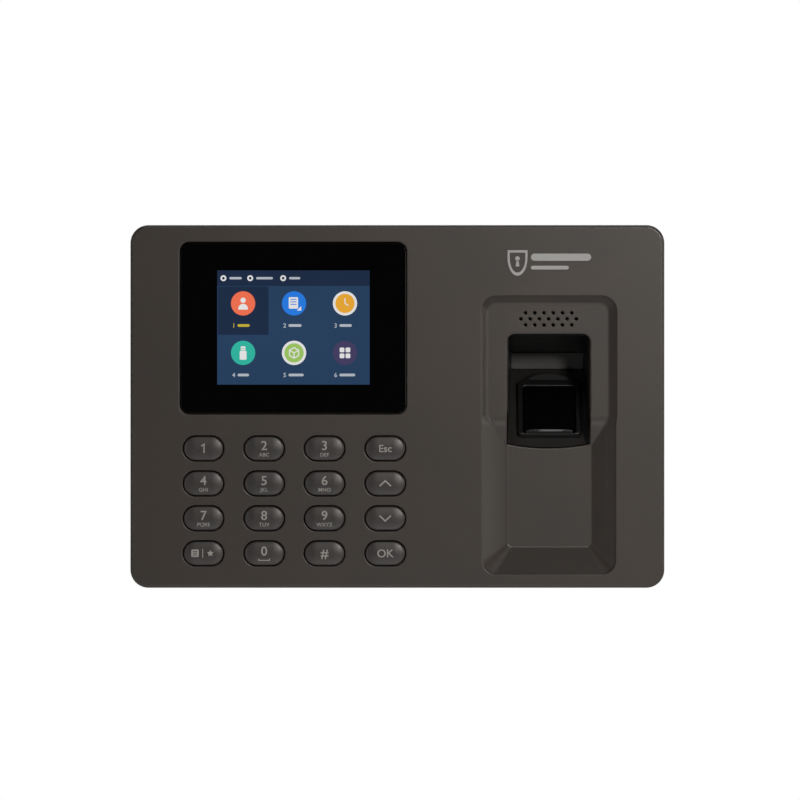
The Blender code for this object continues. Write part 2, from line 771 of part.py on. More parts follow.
def sensor_module(black, glass, board, metal):
    """The optical reader: a housing, its glass prism, the camera and the board behind them."""
    body = tilted(part("sensor_body", outline_bmesh(module_outline(0), (-1.0, 6.0), 1), black))
    hole = tilted_slab(
        (-GLASS_HALF_WIDTH - GAP, GLASS_HALF_WIDTH + GAP),
        (-3, 11),
        (-GLASS_HALF_LENGTH - GAP, GLASS_HALF_LENGTH + GAP),
    )
    cut(body, tilted(tool("prism_hole", hole)))
    half = GLASS_HALF_LENGTH
    section = [(-0.2, -half), (-0.2, half), (0.8, half), (4.8, 4.2), (4.8, -4.2), (0.8, -half)]
    glass_limits = (-GLASS_HALF_WIDTH, GLASS_HALF_WIDTH)
    tilted(part("sensor_prism", outline_bmesh(section, glass_limits, 0), glass))
    bm = bmesh.new()
    add_rod(bm, (0, 0), 3.2, (5.1, 9.0), sides=20)
    tilted(part("sensor_camera", bm, metal))
    tilted(part("sensor_board", tilted_slab((-10.2, 10.2), (9.3, 10.6), (-10.4, 10.4)), board))
    return body


def speaker(look, foam):
    x = (GRILLE_X - 13.0, GRILLE_X + 13.0)
    z = (25.9, 36.9)
    front = UPPER_FLOOR + 2.2 + GAP
    gasket = slab_part("speaker_gasket", foam, x, (front, front + 0.8), z, 2.5, 3)
    window = slab_tool("gasket_hole", (x[0] + 2, x[1] - 2), (-40, -20), (z[0] + 2, z[1] - 2), 1.5, 2)
    cut(gasket, window)
    y = (front + 0.8 + GAP, front + 5.8)
    slab_part("speaker", look, x, y, z, 2.5, 3)


# ---------------------------------------------------------------- boards


def main_board(look):
    y = (MAIN_BOARD_FRONT, MAIN_BOARD_BACK)
    board = slab_part("main_board", look, MAIN_BOARD_X, y, MAIN_BOARD_Z, 2.0, 2)
    cut(board, rods_tool("main_board_holes", BOARD_POSTS, 1.7, (-30, -5)))
    return board


def connector_limits(x, half):
    """The x and z limits of a connector in the bay."""
    return (x - half[0], x + half[0]), (CONNECTOR_Z - half[1], CONNECTOR_Z + half[1])


def ethernet_jack(look):
    x, z = connector_limits(ETHERNET_X, ETHERNET_HALF)
    jack = slab_part("ethernet_jack", look, x, (ON_BOARD, CONNECTOR_FACE), z)
    socket = slab_tool(
        "ethernet_socket",
        (ETHERNET_X - 5.9, ETHERNET_X + 5.9),
        (ON_BOARD + 1.5, 1),
        (CONNECTOR_Z - 3.6, CONNECTOR_Z + 4.8),
    )
    latch = slab_tool(
        "ethernet_latch",
        (ETHERNET_X - 2.0, ETHERNET_X + 2.0),
        (ON_BOARD + 3.0, 1),
        (CONNECTOR_Z - 5.6, CONNECTOR_Z - 2.0),
    )
    cut(jack, socket, latch)
    return jack


def dc_jack(look):
    x, z = connector_limits(DC_X, DC_HALF)
    jack = slab_part("dc_jack", look, x, (ON_BOARD, CONNECTOR_FACE), z)
    cut(jack, rods_tool("dc_bore", ((DC_X, CONNECTOR_Z),), 3.2, (ON_BOARD + 1.5, 1), sides=16))
    fuse(jack, rods_tool("dc_pin", ((DC_X, CONNECTOR_Z),), 1.0, (ON_BOARD + 1.0, -7.5), sides=8))
    return jack


def terminal_block(look):
    """A row of wire terminals, each with a square entry that faces the wall."""
    x, z = connector_limits(TERMINAL_X, TERMINAL_HALF)
    block = slab_part("terminal_block", look, x, (ON_BOARD, CONNECTOR_FACE), z)
    bm = bmesh.new()
    for index in range(8):
        centre = TERMINAL_X + (index - 3.5) * TERMINAL_PITCH
        limits_z = (CONNECTOR_Z - 2.6, CONNECTOR_Z + 0.2)
        add_slab(bm, (centre - 1.3, centre + 1.3), (CONNECTOR_FACE - 6, 1), limits_z)
    cut(block, tool("wire_entries", bm))
    return block


def usb_port(look):
    x = (-HALF_WIDTH + 0.6, -71.5)
    y = USB_Y
    port = slab_part("usb_port", look, x, y, (-USB_HALF_HEIGHT, USB_HALF_HEIGHT))
    socket = slab_tool("usb_socket", (x[0] - 1, x[1] - 2), (y[0] + 0.8, y[1] - 0.8), (-5.9, 5.9))
    tongue = slab_tool("usb_tongue", (x[0] + 1.5, x[1] - 1), (y[0] + 1.4, y[0] + 3.3), (-5.3, 5.3))
    cut(port, socket)
    fuse(port, tongue)
    return port


def coin_cell(holder_look, cell_look):
    x, z = COIN_CELL
    bm = bmesh.new()
    add_rod(bm, COIN_CELL, COIN_HOLDER_RADIUS, (ON_BOARD, COIN_HOLDER_BACK), sides=28)
    holder = part("coin_cell_holder", bm, holder_look, origin=(x, ON_BOARD, z))
    pocket = rods_tool("cell_pocket", (COIN_CELL,), COIN_CELL_RADIUS + GAP, (ON_BOARD + 0.7, 0), 28)
    cut(holder, pocket)
    bm = bmesh.new()
    add_rod(bm, COIN_CELL, COIN_CELL_RADIUS, (ON_BOARD + 1.0, ON_BOARD + 4.2), sides=28)
    part("coin_cell", bm, cell_look, origin=(x, ON_BOARD + 1.0, z))


def tamper(black, button):
    """The switch that opens when the terminal leaves its bracket, and its plunger."""
    x, z = TAMPER
    y = (ON_BOARD, TAMPER_SWITCH_BACK)
    body = slab_part("tamper_switch", black, (x - 4, x + 4), y, (z - 3.3, z + 3.3))
    cut(body, rods_tool("tamper_bore", (TAMPER,), PLUNGER_RADIUS + 0.4, (-14.4, 0), sides=12))
    bm = bmesh.new()
    add_rod(bm, (x, z), PLUNGER_RADIUS, (-12.2, RECESS_FLOOR), sides=12)
    plunger = part("tamper_plunger", bm, button, origin=(x, RECESS_FLOOR, z))
    fuse(plunger, rods_tool("collar", (TAMPER,), 2.6, (-7.4, -6.6), sides=14))
    return plunger


# ---------------------------------------------------------------- screws


def screw_mesh(name, head, shank, slot, look, steps):
    """A pan-head screw along +Z from its tip: head and shank are (radius, length) pairs."""
    profile = [
        (0, shank[1] + head[1]),
        (head[0] * 0.72, shank[1] + head[1]),
        (head[0], shank[1] + head[1] * 0.55),
        (head[0], shank[1]),
        (shank[0], shank[1]),
        (shank[0], shank[0] * 0.6),
        (shank[0] * 0.35, 0),
        (0, 0),
    ]
    bm = bmesh.new()
    verts = [bm.verts.new((radius * MM, 0, height * MM)) for radius, height in profile]
    for start, end in zip(verts, verts[1:]):
        bm.edges.new((start, end))
    mesh = bpy.data.meshes.new(name)
    bm.to_mesh(mesh)
    bm.free()
    obj = bpy.data.objects.new(name, mesh)
    TOOLS.objects.link(obj)
    turn = obj.modifiers.new("turn", "SCREW")
    turn.steps = steps
    turn.render_steps = steps
    turn.use_merge_vertices = True
    turn.merge_threshold = 1e-6
    turn.use_normal_calculate = True
    top = shank[1] + head[1]
    arms = []
    for axis, (wide, narrow) in enumerate(((slot, slot * 0.25), (slot * 0.25, slot))):
        limits_x = (-wide / 2, wide / 2)
        limits_y = (-narrow / 2, narrow / 2)
        depth = head[1] * (0.62 + 0.02 * axis)
        arms.append(slab_tool(f"{name}_arm{axis}", limits_x, limits_y, (top - depth, top + 1)))
    cut(obj, *arms)
    result = evaluated_mesh(obj)
    result.name = name
    result.materials.clear()
    result.materials.append(look)
    shade_round(result)
    for arm in arms:
        bpy.data.objects.remove(arm, do_unlink=True)
    return result


def place_screw(name, mesh, tip, turn_x):
    obj = bpy.data.objects.new(name, mesh)
    obj.location = Vector(tip) * MM
    obj.rotation_euler = (math.radians(turn_x), 0, 0)
    PARTS.objects.link(obj)


def screws(look):
    """Each screw is its own piece. Turned by -90 degrees, its head faces the wall."""
    cover = screw_mesh("cover_screw", (2.8, 1.9), (1.35, 11.6), 3.0, look, 14)
    for index, (x, z) in enumerate(CORNER_POSTS):
        place_screw(f"cover_screw_{index + 1}", cover, (x, -8.2 - 11.6, z), -90)
    board = screw_mesh("board_screw", (2.5, 1.6), (1.1, 7.6), 2.6, look, 12)
    for index, (x, z) in enumerate(BOARD_POSTS):
        place_screw(f"board_screw_{index + 1}", board, (x, ON_BOARD - 7.6, z), -90)
    small = screw_mesh("keypad_screw", (1.7, 1.1), (0.7, 4.6), 1.8, look, 10)
    back = KEYPAD_BOARD_FRONT + BOARD + GAP
    for index, (x, z) in enumerate(KEYPAD_POSTS):
        place_screw(f"keypad_screw_{index + 1}", small, (x, back - 4.6, z), -90)
    lock = screw_mesh("lock_screw", (2.7, 1.4), (1.35, 5.6), 2.8, look, 14)
    place_screw("lock_screw", lock, (0, LOCK_SCREW_Y, -56.0 + GAP + 5.6), 180)


# ---------------------------------------------------------------- assembly


def build():
    shell = material("shell_plastic", (0.050, 0.042, 0.037), 0.42)
    rear = material("rear_plastic", (0.030, 0.027, 0.025), 0.55)
    key_look = material("key_plastic", (0.070, 0.060, 0.054), 0.40)
    black = material("black_plastic", (0.010, 0.010, 0.010), 0.35)
    lens = material("window_glass", (0.004, 0.004, 0.005), 0.06)
    optical = material("sensor_glass", (0.006, 0.006, 0.010), 0.05)
    screen = material("display_panel", (0.020, 0.045, 0.090), 0.30)
    silicone = material("silicone", (0.30, 0.30, 0.29), 0.60)
    foam = material("foam", (0.03, 0.03, 0.03), 0.90)
    board = material("circuit_board", (0.010, 0.090, 0.035), 0.45)
    film = material("ribbon_film", (0.45, 0.20, 0.05), 0.40)
    steel = material("steel", (0.55, 0.55, 0.56), 0.35, 1.0)
    green = material("terminal_green", (0.02, 0.25, 0.08), 0.50)
    front_cover(shell)
    rear_cover(rear)
    wall_bracket(steel)
    ribbon_start = display(lens, screen, steel)[-1]
    lcd_ribbon(film, ribbon_start)
    keys(key_look)
    keypad_mat(silicone)
    keypad_board(board)
    sensor_bezel(black)
    sensor_module(black, optical, board, black)
    speaker(black, foam)
    main_board(board)
    slab_part("processor_shield", steel, (-44, -16), (ON_BOARD, ON_BOARD + 2.8), (-34, -6), 1.0, 2)
    ethernet_jack(steel)
    dc_jack(black)
    terminal_block(green)
    usb_port(steel)
    coin_cell(black, steel)
    tamper(black, silicone)
    screws(steel)


clear_scene()
PARTS = collection("fingerprint_scanner_terminal")
TOOLS = collection("cutters")
build()
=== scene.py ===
"""Looks of the fingerprint scanner terminal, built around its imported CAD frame.

Positions come from the frame's boxes. MM turns the millimetres of the named sizes into metres.
"""

import math

import bmesh
import bpy
from mathutils import Matrix, Vector


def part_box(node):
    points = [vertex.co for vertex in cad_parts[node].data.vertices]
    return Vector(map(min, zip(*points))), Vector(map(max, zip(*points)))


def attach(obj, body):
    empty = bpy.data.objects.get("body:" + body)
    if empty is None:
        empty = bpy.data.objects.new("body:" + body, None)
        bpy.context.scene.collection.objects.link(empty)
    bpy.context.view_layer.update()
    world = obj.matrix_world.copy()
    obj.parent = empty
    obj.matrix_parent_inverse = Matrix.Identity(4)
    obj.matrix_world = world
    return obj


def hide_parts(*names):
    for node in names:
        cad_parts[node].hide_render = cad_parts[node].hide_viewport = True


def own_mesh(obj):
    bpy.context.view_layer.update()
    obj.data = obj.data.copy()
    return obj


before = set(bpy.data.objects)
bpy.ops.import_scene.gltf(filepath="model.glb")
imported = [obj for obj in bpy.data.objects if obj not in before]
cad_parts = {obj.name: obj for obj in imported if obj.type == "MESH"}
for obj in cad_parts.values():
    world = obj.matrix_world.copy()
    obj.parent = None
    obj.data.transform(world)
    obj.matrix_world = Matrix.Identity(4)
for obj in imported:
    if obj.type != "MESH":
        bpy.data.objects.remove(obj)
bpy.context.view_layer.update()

MM = 0.001
GAP = 0.3


def box_mm(node):
    """A node's lowest and highest corners in millimetres."""
    low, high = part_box(node)
    return Vector(low) / MM, Vector(high) / MM


COVER_LOW, COVER_HIGH = box_mm("front_cover")
WINDOW_LOW, WINDOW_HIGH = box_mm("display_window")

# Front cover
FACE = COVER_LOW.y
SPLIT = box_mm("rear_cover")[0].y + 2.7
CORNER = 5.8
RIM = 1.0
FACE_WALL = 3.2
SIDE_WALL = 2.4
EMBLEM_X = 38.6
EMBLEM_Z = 46.6

# Sensor bay: floor and mouth rectangles as (low x, high x, low z, high z)
UPPER_DEPTH = 2.4
UPPER_FLOOR = (28.8, 68.0, -4.6, 33.2)
UPPER_MOUTH = (26.8, 70.7, -4.6, 35.8)
LOWER_DEPTH = 6.0
LOWER_FLOOR = (35.4, 62.5, -45.3, -12.4)
LOWER_MOUTH = (27.0, 70.4, -54.2, 1.0)
RAMP_RADIUS = 8.0
RAMP_TILT = math.radians(26)
RAMP_LEAD = 0.8
SHOULDER_REACH = 1.3
CHANNEL_EDGE = 1.4
CHANNEL_FOOT = 0.6
EASE_START = -2.2
EASE_END = -6.8
EASE_STEPS = 10
HAIR = 0.015
OPENING_X = (35.3, 62.0)
OPENING_TOP = 23.3
OPENING_SIDE = -12.1
OPENING_SAG = 1.3
OPENING_CORNER = 2.6
OPENING_EDGE = 0.4
OPENING_RISES = (-10.5, -9.0, -7.5, -6.0, -4.5, -3.0, 0.0, 6.0)
CHANNEL_BACKING = ((24.4, 72.6), (-57.1, -2.0))
BAY_BACKING = ((24.0, 73.0), (-8.0, 38.4))
GRILLE_X = 48.6
GRILLE_ROWS = ((30.1, 6), (28.15, 7), (26.2, 6))
GRILLE_PITCH = 2.97
GRILLE_RADIUS = 0.55

# Keys
KEY_NODES = sorted(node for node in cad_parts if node.startswith("key_"))
KEY_RADIUS = 3.85
KEY_FLANGE = 1.1
KEY_FLANGE_FRONT = 4.5
KEY_CREST = 0.5
KEY_SHOULDER = 0.45
KEY_EDGE = 0.55
CAPITAL_HEIGHT = 0.69
DIGIT_HEIGHT = 2.9
LETTER_HEIGHT = 1.15
CHEVRON = [(-1.8, -0.85), (0, 0.85), (1.8, -0.85)]
CHEVRON_WIDTH = 0.45

# Sensor chamber, and the reader's own frame about its centre, before its tilt
UPPER_BACK = FACE + UPPER_DEPTH + 2.2
LOWER_BACK = FACE + LOWER_DEPTH + 2.4
CHAMBER_WALL = 1.3
CHAMBER_BACK = box_mm("sensor_bezel")[1].y - CHAMBER_WALL
CHAMBER_DRAFT = 1.5
ROOF_FRONT = 23.7
ROOF_BACK = 17.5
FLOOR_OFFSET = 18.6
LIP_SINK = 0.05
MODULE_CENTRE = (49.05, -21.05, -0.95)
READER_TILT = math.radians(-45)
MODULE_HALF_WIDTH = 10.2
MODULE_BOTTOM = -12.0
MODULE_SHOULDER = 11.5
MODULE_TOP = 16.5
MODULE_FRONT = -1.0
MODULE_CORNER = 1.3
MODULE_EDGE = 0.5
MODULE_RISES = (-4.0, 0.0, 4.0, 8.0)
WINDOW_EDGE = 0.6
WINDOW_CORNER = 0.9
MODULE_WINDOW_X = (-8.45, 8.45)
MODULE_WINDOW_Z = (-11.6, 9.8)
HOOD_HALF_WIDTH = 9.5
HOOD_FOOT = 6.6
HOOD_SHOULDER = 7.0
HOOD_TOP = 11.2
HOOD_LEAN = 0.55
GLASS_HALF_WIDTH = 8.3
GLASS_Z = (-11.5, 9.6)
GLASS_FRONT = -1.3

# Keypad mat
MAT_SHEET = 1.0
MAT_CORNER = 2.0
MAT_SCREW_HOLE = 2.2

# A dome's (radius, share of its height), from its foot up
DOME = ((3.5, 0), (3.25, 0.1), (2.95, 0.35), (2.4, 0.72), (2.1, 0.8), (2.0, 0.93), (1.85, 1.0))

# Display: the panel's border round its lit area, and the picture
PANEL_LEFT = 4.5
PANEL_RIGHT = 4.5
PANEL_BELOW = 6.4
PANEL_ABOVE = 2.7
HEADER_HEIGHT = 5.0
SCREEN_FILM = 0.008
ICON_RADIUS = 3.9
ICON_FIELD = 3.1
LENS_CORNER = 3.0

# Rear label
LABEL_HALF_WIDTH = 27.0
CODE_SQUARES = 9
CODE_PITCH = 0.62


# ---------------------------------------------------------------- mesh helpers


def arc(centre, radius, start, end, count):
    """Points on a circle between two angles in degrees."""
    angles = [math.radians(start + (end - start) * i / count) for i in range(count + 1)]
    return [(centre[0] + radius * math.cos(a), centre[1] + radius * math.sin(a)) for a in angles]


def bow(half, rise):
    """The radius of an arch of that half width and rise, and half its sweep in degrees."""
    radius = (half**2 + rise**2) / (2 * rise)
    return radius, math.degrees(math.asin(half / radius))


def rounded_rect(rect, radius, count=8, top_radius=None):
    """An outline of (x, z) points, anticlockwise from the lower right corner."""
    x0, x1, z0, z1 = rect
    limit = min(x1 - x0, z1 - z0) / 2 - 1e-3
    r = min(radius, limit)
    top = r if top_radius is None else min(top_radius, limit)
    points = arc((x1 - r, z0 + r), r, -90, 0, count)
    points += arc((x1 - top, z1 - top), top, 0, 90, count)
    points += arc((x0 + top, z1 - top), top, 90, 180, count)
    points += arc((x0 + r, z0 + r), r, 180, 270, count)
    return points


def circle(centre, radius, count=20):
    return arc(centre, radius, 0, 360 * (count - 1) / count, count - 1)


def grown(rect, by):
    return (rect[0] - by, rect[1] + by, rect[2] - by, rect[3] + by)


def loft(bm, rings, capped=True):
    """Joins rings of (x, y, z) millimetre points, which all have the same count."""
    made = [[bm.verts.new(Vector(point) * MM) for point in ring] for ring in rings]
    for ring, following in zip(made, made[1:]):
        count = len(ring)
        for index in range(count):
            after = (index + 1) % count
            bm.faces.new((ring[index], ring[after], following[after], following[index]))
    if capped:
        bm.faces.new(made[0])
        bm.faces.new(made[-1])
    return made


def at_depth(outline, y):
    return [(x, y, z) for x, z in outline]


def new_mesh_object(name, bm):
    bmesh.ops.recalc_face_normals(bm, faces=bm.faces)
    mesh = bpy.data.meshes.new(name)
    bm.to_mesh(mesh)
    bm.free()
    obj = bpy.data.objects.new(name, mesh)
    bpy.context.scene.collection.objects.link(obj)
    return obj


def combine(obj, operation, tools):
    """Applies a Boolean with each tool in turn, then removes the tools."""
    for tool in tools:
        modifier = obj.modifiers.new(tool.name, "BOOLEAN")
        modifier.operation = operation
        modifier.solver = "EXACT"
        modifier.object = tool
    bake_modifiers(obj)
    for tool in tools:
        bpy.data.objects.remove(tool, do_unlink=True)


def bake_modifiers(obj):
    bpy.context.view_layer.update()
    graph = bpy.context.evaluated_depsgraph_get()
    mesh = bpy.data.meshes.new_from_object(obj.evaluated_get(graph))
    obj.modifiers.clear()
    obj.data = mesh


def finish_surface(obj, material, angle=35):
    """Smooth shading that keeps flat faces flat, and the piece's material."""
    obj.data.materials.clear()
    obj.data.materials.append(material)
    obj.data.shade_smooth()
    obj.data.set_sharp_from_angle(angle=math.radians(angle))
    weighted = obj.modifiers.new("weighted_normals", "WEIGHTED_NORMAL")
    weighted.keep_sharp = True
    weighted.weight = 100
    return obj


def quarter(radius, steps):
    """(out, drop) pairs round a quarter circle, from fully out and level to flush and dropped."""
    turns = [math.radians(90) * i / steps for i in range(steps + 1)]
    return [(radius * (1 - math.sin(turn)), radius * (1 - math.cos(turn))) for turn in turns]


def middle_of(node):
    """The (x, z) centre of a node's box."""
    low, high = box_mm(node)
    return (low.x + high.x) / 2, (low.z + high.z) / 2


def slab(name, x, y, z, corner=0.0):
    outline = rounded_rect((*x, *z), max(corner, 0.01), 6 if corner else 1)
    return solid(name, [at_depth(outline, y[0]), at_depth(outline, y[1])])


def solid(name, rings):
    """A closed solid through rings of points."""
    bm = bmesh.new()
    loft(bm, rings)
    return new_mesh_object(name, bm)


def settle(piece, material, body="terminal", replaces=None, angle=35):
    """Finishes a piece, rides it on its body, and hides the CAD node it stands for."""
    finish_surface(piece, material, angle)
    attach(piece, body)
    if replaces:
        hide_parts(replaces)


# ---------------------------------------------------------------- materials


def node_tools(material):
    """The material's shader, a function that adds nodes, and one that sets or links an input.

    A value for an input is either a plain value or another node's output, which is linked.
    """
    tree = material.node_tree

    def feed(node, name, value):
        if isinstance(value, bpy.types.NodeSocket):
            tree.links.new(value, node.inputs[name])
        elif name in node.inputs:
            node.inputs[name].default_value = value
        else:
            setattr(node, name, value)

    def add(kind, **settings):
        node = tree.nodes.new("ShaderNode" + kind)
        for name, value in settings.items():
            feed(node, name, value)
        return node

    return tree.nodes["Principled BSDF"], add, feed


def new_material(name):
    material = bpy.data.materials.new(name)
    material.use_nodes = True
    return material, *node_tools(material)


def rgba(colour, share=1.0):
    """A colour brightened or darkened by a share, as a node wants it."""
    return (*(min(c * share, 1.0) for c in colour), 1.0)


def two_tone(add, factor, colour, shares, ends=(0.0, 1.0)):
    """A colour that drifts between two shares of itself as the factor goes between the ends."""
    ramp = add("ValToRGB", Fac=factor)
    for element, share, end in zip(ramp.color_ramp.elements, shares, ends):
        element.position = end
        element.color = rgba(colour, share)
    return ramp.outputs["Color"]


def in_range(add, value, low, high):
    """A value between 0 and 1 mapped to between low and high."""
    return add("MapRange", Value=value, **{"To Min": low, "To Max": high}).outputs["Result"]


def moulded(
    name, colour, roughness, grain=2400.0, grain_depth=0.012, spread=0.10, specular=0.5, crease=0.0
):
    """Moulded plastic: fine spark-eroded grain, slow colour drift, and paler edges that are partly
    rubbing from use and partly a painted highlight.

    A crease radius softens the sharp edges where moulded surfaces meet.
    """
    material, shader, add, feed = new_material(name)
    place = add("TexCoord").outputs["Object"]
    drift = add("TexNoise", Scale=38.0, Detail=3.0, Vector=place).outputs["Fac"]
    tone = two_tone(add, drift, colour, (1 - spread, 1 + spread), (0.3, 0.7))
    # Sharp convex edges are made paler: partly rubbing from use, partly a painted highlight along the
    # edges.
    edge = add("NewGeometry").outputs["Pointiness"]
    wear_and_highlight = add("MapRange", Value=edge, **{"From Min": 0.52, "From Max": 0.62, "To Max": 0.35})
    worn_and_highlit = add("Mix", data_type="RGBA", A=tone, B=rgba(colour, 1.5), Factor=wear_and_highlight.outputs["Result"])
    feed(shader, "Base Color", worn_and_highlit.outputs["Result"])
    speckle = add("TexNoise", Scale=grain, Detail=2.0, Vector=place).outputs["Fac"]
    feed(shader, "Roughness", in_range(add, speckle, roughness - 0.05, roughness + 0.05))
    bump = add("Bump", Strength=0.35, Distance=grain_depth * MM, Height=speckle)
    if crease:
        feed(bump, "Normal", add("Bevel", samples=6, Radius=crease * MM).outputs["Normal"])
    feed(shader, "Normal", bump.outputs["Normal"])
    feed(shader, "Specular IOR Level", specular)
    return material


SHELL = moulded("shell_plastic", (0.0345, 0.0250, 0.0185), 0.40, specular=0.85, crease=0.45)
REAR = moulded("rear_plastic", (0.032, 0.029, 0.027), 0.55, grain=1600.0, grain_depth=0.02)
KEY = moulded("key_plastic", (0.029, 0.0240, 0.0215), 0.40, specular=0.85)
BLACK = moulded("black_plastic", (0.007, 0.007, 0.007), 0.40)
# A paler copy of the chamber's black, painted light for its up-facing floor so that it reads lit
# beside the shaded roof.
PAINTED_LIT_FLOOR = moulded("painted_lit_floor", (0.024, 0.0225, 0.0215), 0.45)
SATIN = moulded("satin_panel", (0.040, 0.038, 0.0365), 0.45)
HOUSING = moulded("housing_black", (0.011, 0.0105, 0.0105), 0.36, grain_depth=0.004)
HOOD = moulded("hood_black", (0.024, 0.0235, 0.024), 0.40)
# A pale ground finish for the window's lower bevel, partly a painted highlight along that edge.
GROUND_EDGE_HIGHLIGHT = moulded("ground_edge_painted_highlight", (0.20, 0.20, 0.205), 0.34)
PRINT = moulded("key_print", (0.36, 0.35, 0.33), 0.5, grain=3000.0, spread=0.06)
EMBLEM = moulded("emblem_print", (0.41, 0.41, 0.405), 0.4, grain=3000.0, spread=0.06)


def gloss(name, colour, roughness=0.05):
    """Polished lens or glass with faint smears."""
    material, shader, add, feed = new_material(name)
    place = add("TexCoord").outputs["Object"]
    smear = add("TexNoise", Scale=55.0, Detail=5.0, Distortion=1.5, Vector=place).outputs["Fac"]
    feed(shader, "Base Color", two_tone(add, smear, colour, (0.8, 1.3)))
    feed(shader, "Roughness", in_range(add, smear, roughness, roughness + 0.10))
    return material


def lit(name, colour):
    """A lit area of the screen, under the lens's gloss, with a trace of backlight unevenness."""
    material = gloss(name, [c * 0.05 for c in colour], 0.08)
    shader, add, feed = node_tools(material)
    place = add("TexCoord").outputs["Object"]
    uneven = add("TexNoise", Scale=30.0, Detail=1.0, Vector=place).outputs["Fac"]
    feed(shader, "Emission Color", two_tone(add, uneven, colour, (0.88, 1.1)))
    feed(shader, "Emission Strength", 1.0)
    return material


def metal(name, colour, roughness, streaks=900.0):
    """Plated sheet or turned metal, with fine rolling streaks and a mottled plating."""
    material, shader, add, feed = new_material(name)
    place = add("TexCoord").outputs["Object"]
    stretched = add("Mapping", Scale=(1.0, 1.0, 0.04), Vector=place).outputs["Vector"]
    streak = add("TexNoise", Scale=streaks, Detail=3.0, Vector=stretched).outputs["Fac"]
    mottle = add("TexNoise", Scale=90.0, Detail=3.0, Vector=place).outputs["Fac"]
    feed(shader, "Base Color", two_tone(add, mottle, colour, (0.85, 1.12)))
    feed(shader, "Roughness", in_range(add, streak, roughness - 0.08, roughness + 0.10))
    bump = add("Bump", Strength=0.2, Distance=0.01 * MM, Height=streak)
    feed(shader, "Normal", bump.outputs["Normal"])
    feed(shader, "Metallic", 1.0)
    return material


def circuit_board(name):
    """Green solder mask over rows of copper tracks."""
    material = moulded(name, (0.008, 0.075, 0.030), 0.35)
    shader, add, feed = node_tools(material)
    place = add("TexCoord").outputs["Object"]
    turned = add("Mapping", Rotation=(math.radians(90), 0, 0), Vector=place).outputs["Vector"]
    tones = ((0.008, 0.070, 0.028), (0.010, 0.105, 0.045), (0.004, 0.045, 0.020))
    colours = dict(zip(("Color1", "Color2", "Mortar"), map(rgba, tones)))
    tracks = add("TexBrick", Scale=260.0, Vector=turned, **colours)
    feed(shader, "Base Color", tracks.outputs["Color"])
    return material


ZINC = metal("zinc_steel", (0.44, 0.45, 0.46), 0.38)
STEEL = metal("bright_steel", (0.55, 0.55, 0.55), 0.26, 1500.0)
NICKEL = metal("nickel", (0.58, 0.56, 0.52), 0.30)
BOARD = circuit_board("circuit_board")
SILICONE = moulded("silicone", (0.30, 0.30, 0.29), 0.6, grain=1200.0, spread=0.05)
FOAM = moulded("foam", (0.022, 0.022, 0.022), 0.9, grain=700.0, grain_depth=0.2)
TERMINAL = moulded("terminal_green", (0.020, 0.22, 0.075), 0.48)
BUTTON = moulded("button_plastic", (0.55, 0.54, 0.50), 0.42, spread=0.05)
RIBBON = moulded("ribbon_film", (0.36, 0.16, 0.03), 0.38)
LABEL = moulded("label_foil", (0.42, 0.42, 0.41), 0.45, grain=1800.0, spread=0.05)
INK = moulded("label_ink", (0.020, 0.020, 0.020), 0.6, spread=0.05)
LENS = gloss("lens_black", (0.0007, 0.0007, 0.0010), 0.025)
OPTIC = gloss("sensor_glass", (0.0006, 0.0006, 0.0009), 0.03)
SCREEN_BLUE = lit("screen_blue", (0.020, 0.048, 0.105))
SCREEN_NAVY = lit("screen_navy", (0.012, 0.024, 0.055))
SCREEN_ORANGE = lit("screen_orange", (0.78, 0.15, 0.075))
SCREEN_AZURE = lit("screen_azure", (0.020, 0.18, 0.68))
SCREEN_GOLD = lit("screen_gold", (0.75, 0.36, 0.035))
SCREEN_TEAL = lit("screen_teal", (0.03, 0.42, 0.32))
SCREEN_GREEN = lit("screen_green", (0.30, 0.50, 0.11))
SCREEN_PURPLE = lit("screen_purple", (0.055, 0.045, 0.115))
SCREEN_WHITE = lit("screen_white", (0.72, 0.72, 0.72))
SCREEN_PALE = lit("screen_pale", (0.42, 0.45, 0.50))
SCREEN_YELLOW = lit("screen_yellow", (0.50, 0.40, 0.03))


# ---------------------------------------------------------------- front cover


def between(low, high, share):
    return low + (high - low) * share


def recess_rings(floor, mouth, depth, bottom_radii, top_radii, edge, foot):
    """A recess as rings from above the face down to its floor, each side with its own slope.

    The mouth's edge and the floor's foot are rounded, so each side's section is a smooth curve.
    Each pair of corner radii is (at the mouth, at the floor).
    """
    shares = [side_profile(floor[i] - mouth[i], depth, edge, foot) for i in range(4)]
    rings = []
    for level in range(len(shares[0])):
        y = sum(shares[i][level][1] for i in range(4)) / 4
        rect = [mouth[i] + shares[i][level][0] for i in range(4)]
        share = min(max((y - FACE) / depth, 0.0), 1.0)
        bottom = between(*bottom_radii, share)
        top = between(*top_radii, share)
        rings.append(at_depth(rounded_rect(rect, bottom, 10, top), y))
    return rings


def upper_recess_rings():
    """The upper recess, whose side walls ease into the channel's shallower slopes below."""
    plain = recess_rings(UPPER_FLOOR, UPPER_MOUTH, UPPER_DEPTH, (0.5, 0.5), (5.2, 2.8), 1.0, 0.8)
    middle = (UPPER_MOUTH[0] + UPPER_MOUTH[1]) / 2
    rings = []
    for ring in plain:
        level = ring[0][1] - FACE
        above = [point for point in ring if point[2] > EASE_START + 0.5]
        sides = (min(x for x, _, _ in ring), max(x for x, _, _ in ring))
        slopes = [LOWER_MOUTH[i] + side_offset(i, level, CHANNEL_EDGE, CHANNEL_FOOT) for i in range(2)]
        slopes = (slopes[0] + HAIR, slopes[1] - HAIR)
        left, right = [], []
        for i in range(EASE_STEPS + 1):
            share = i / EASE_STEPS
            z = between(EASE_START, EASE_END, share)
            ease = share * share * (3 - 2 * share)
            left.append((between(sides[0], slopes[0], ease), ring[0][1], z))
            right.append((between(sides[1], slopes[1], ease), ring[0][1], z))
        top_right = [point for point in above if point[0] > middle]
        top_left = [point for point in above if point[0] <= middle]
        rings.append(left + right[::-1] + top_right + top_left)
    return rings


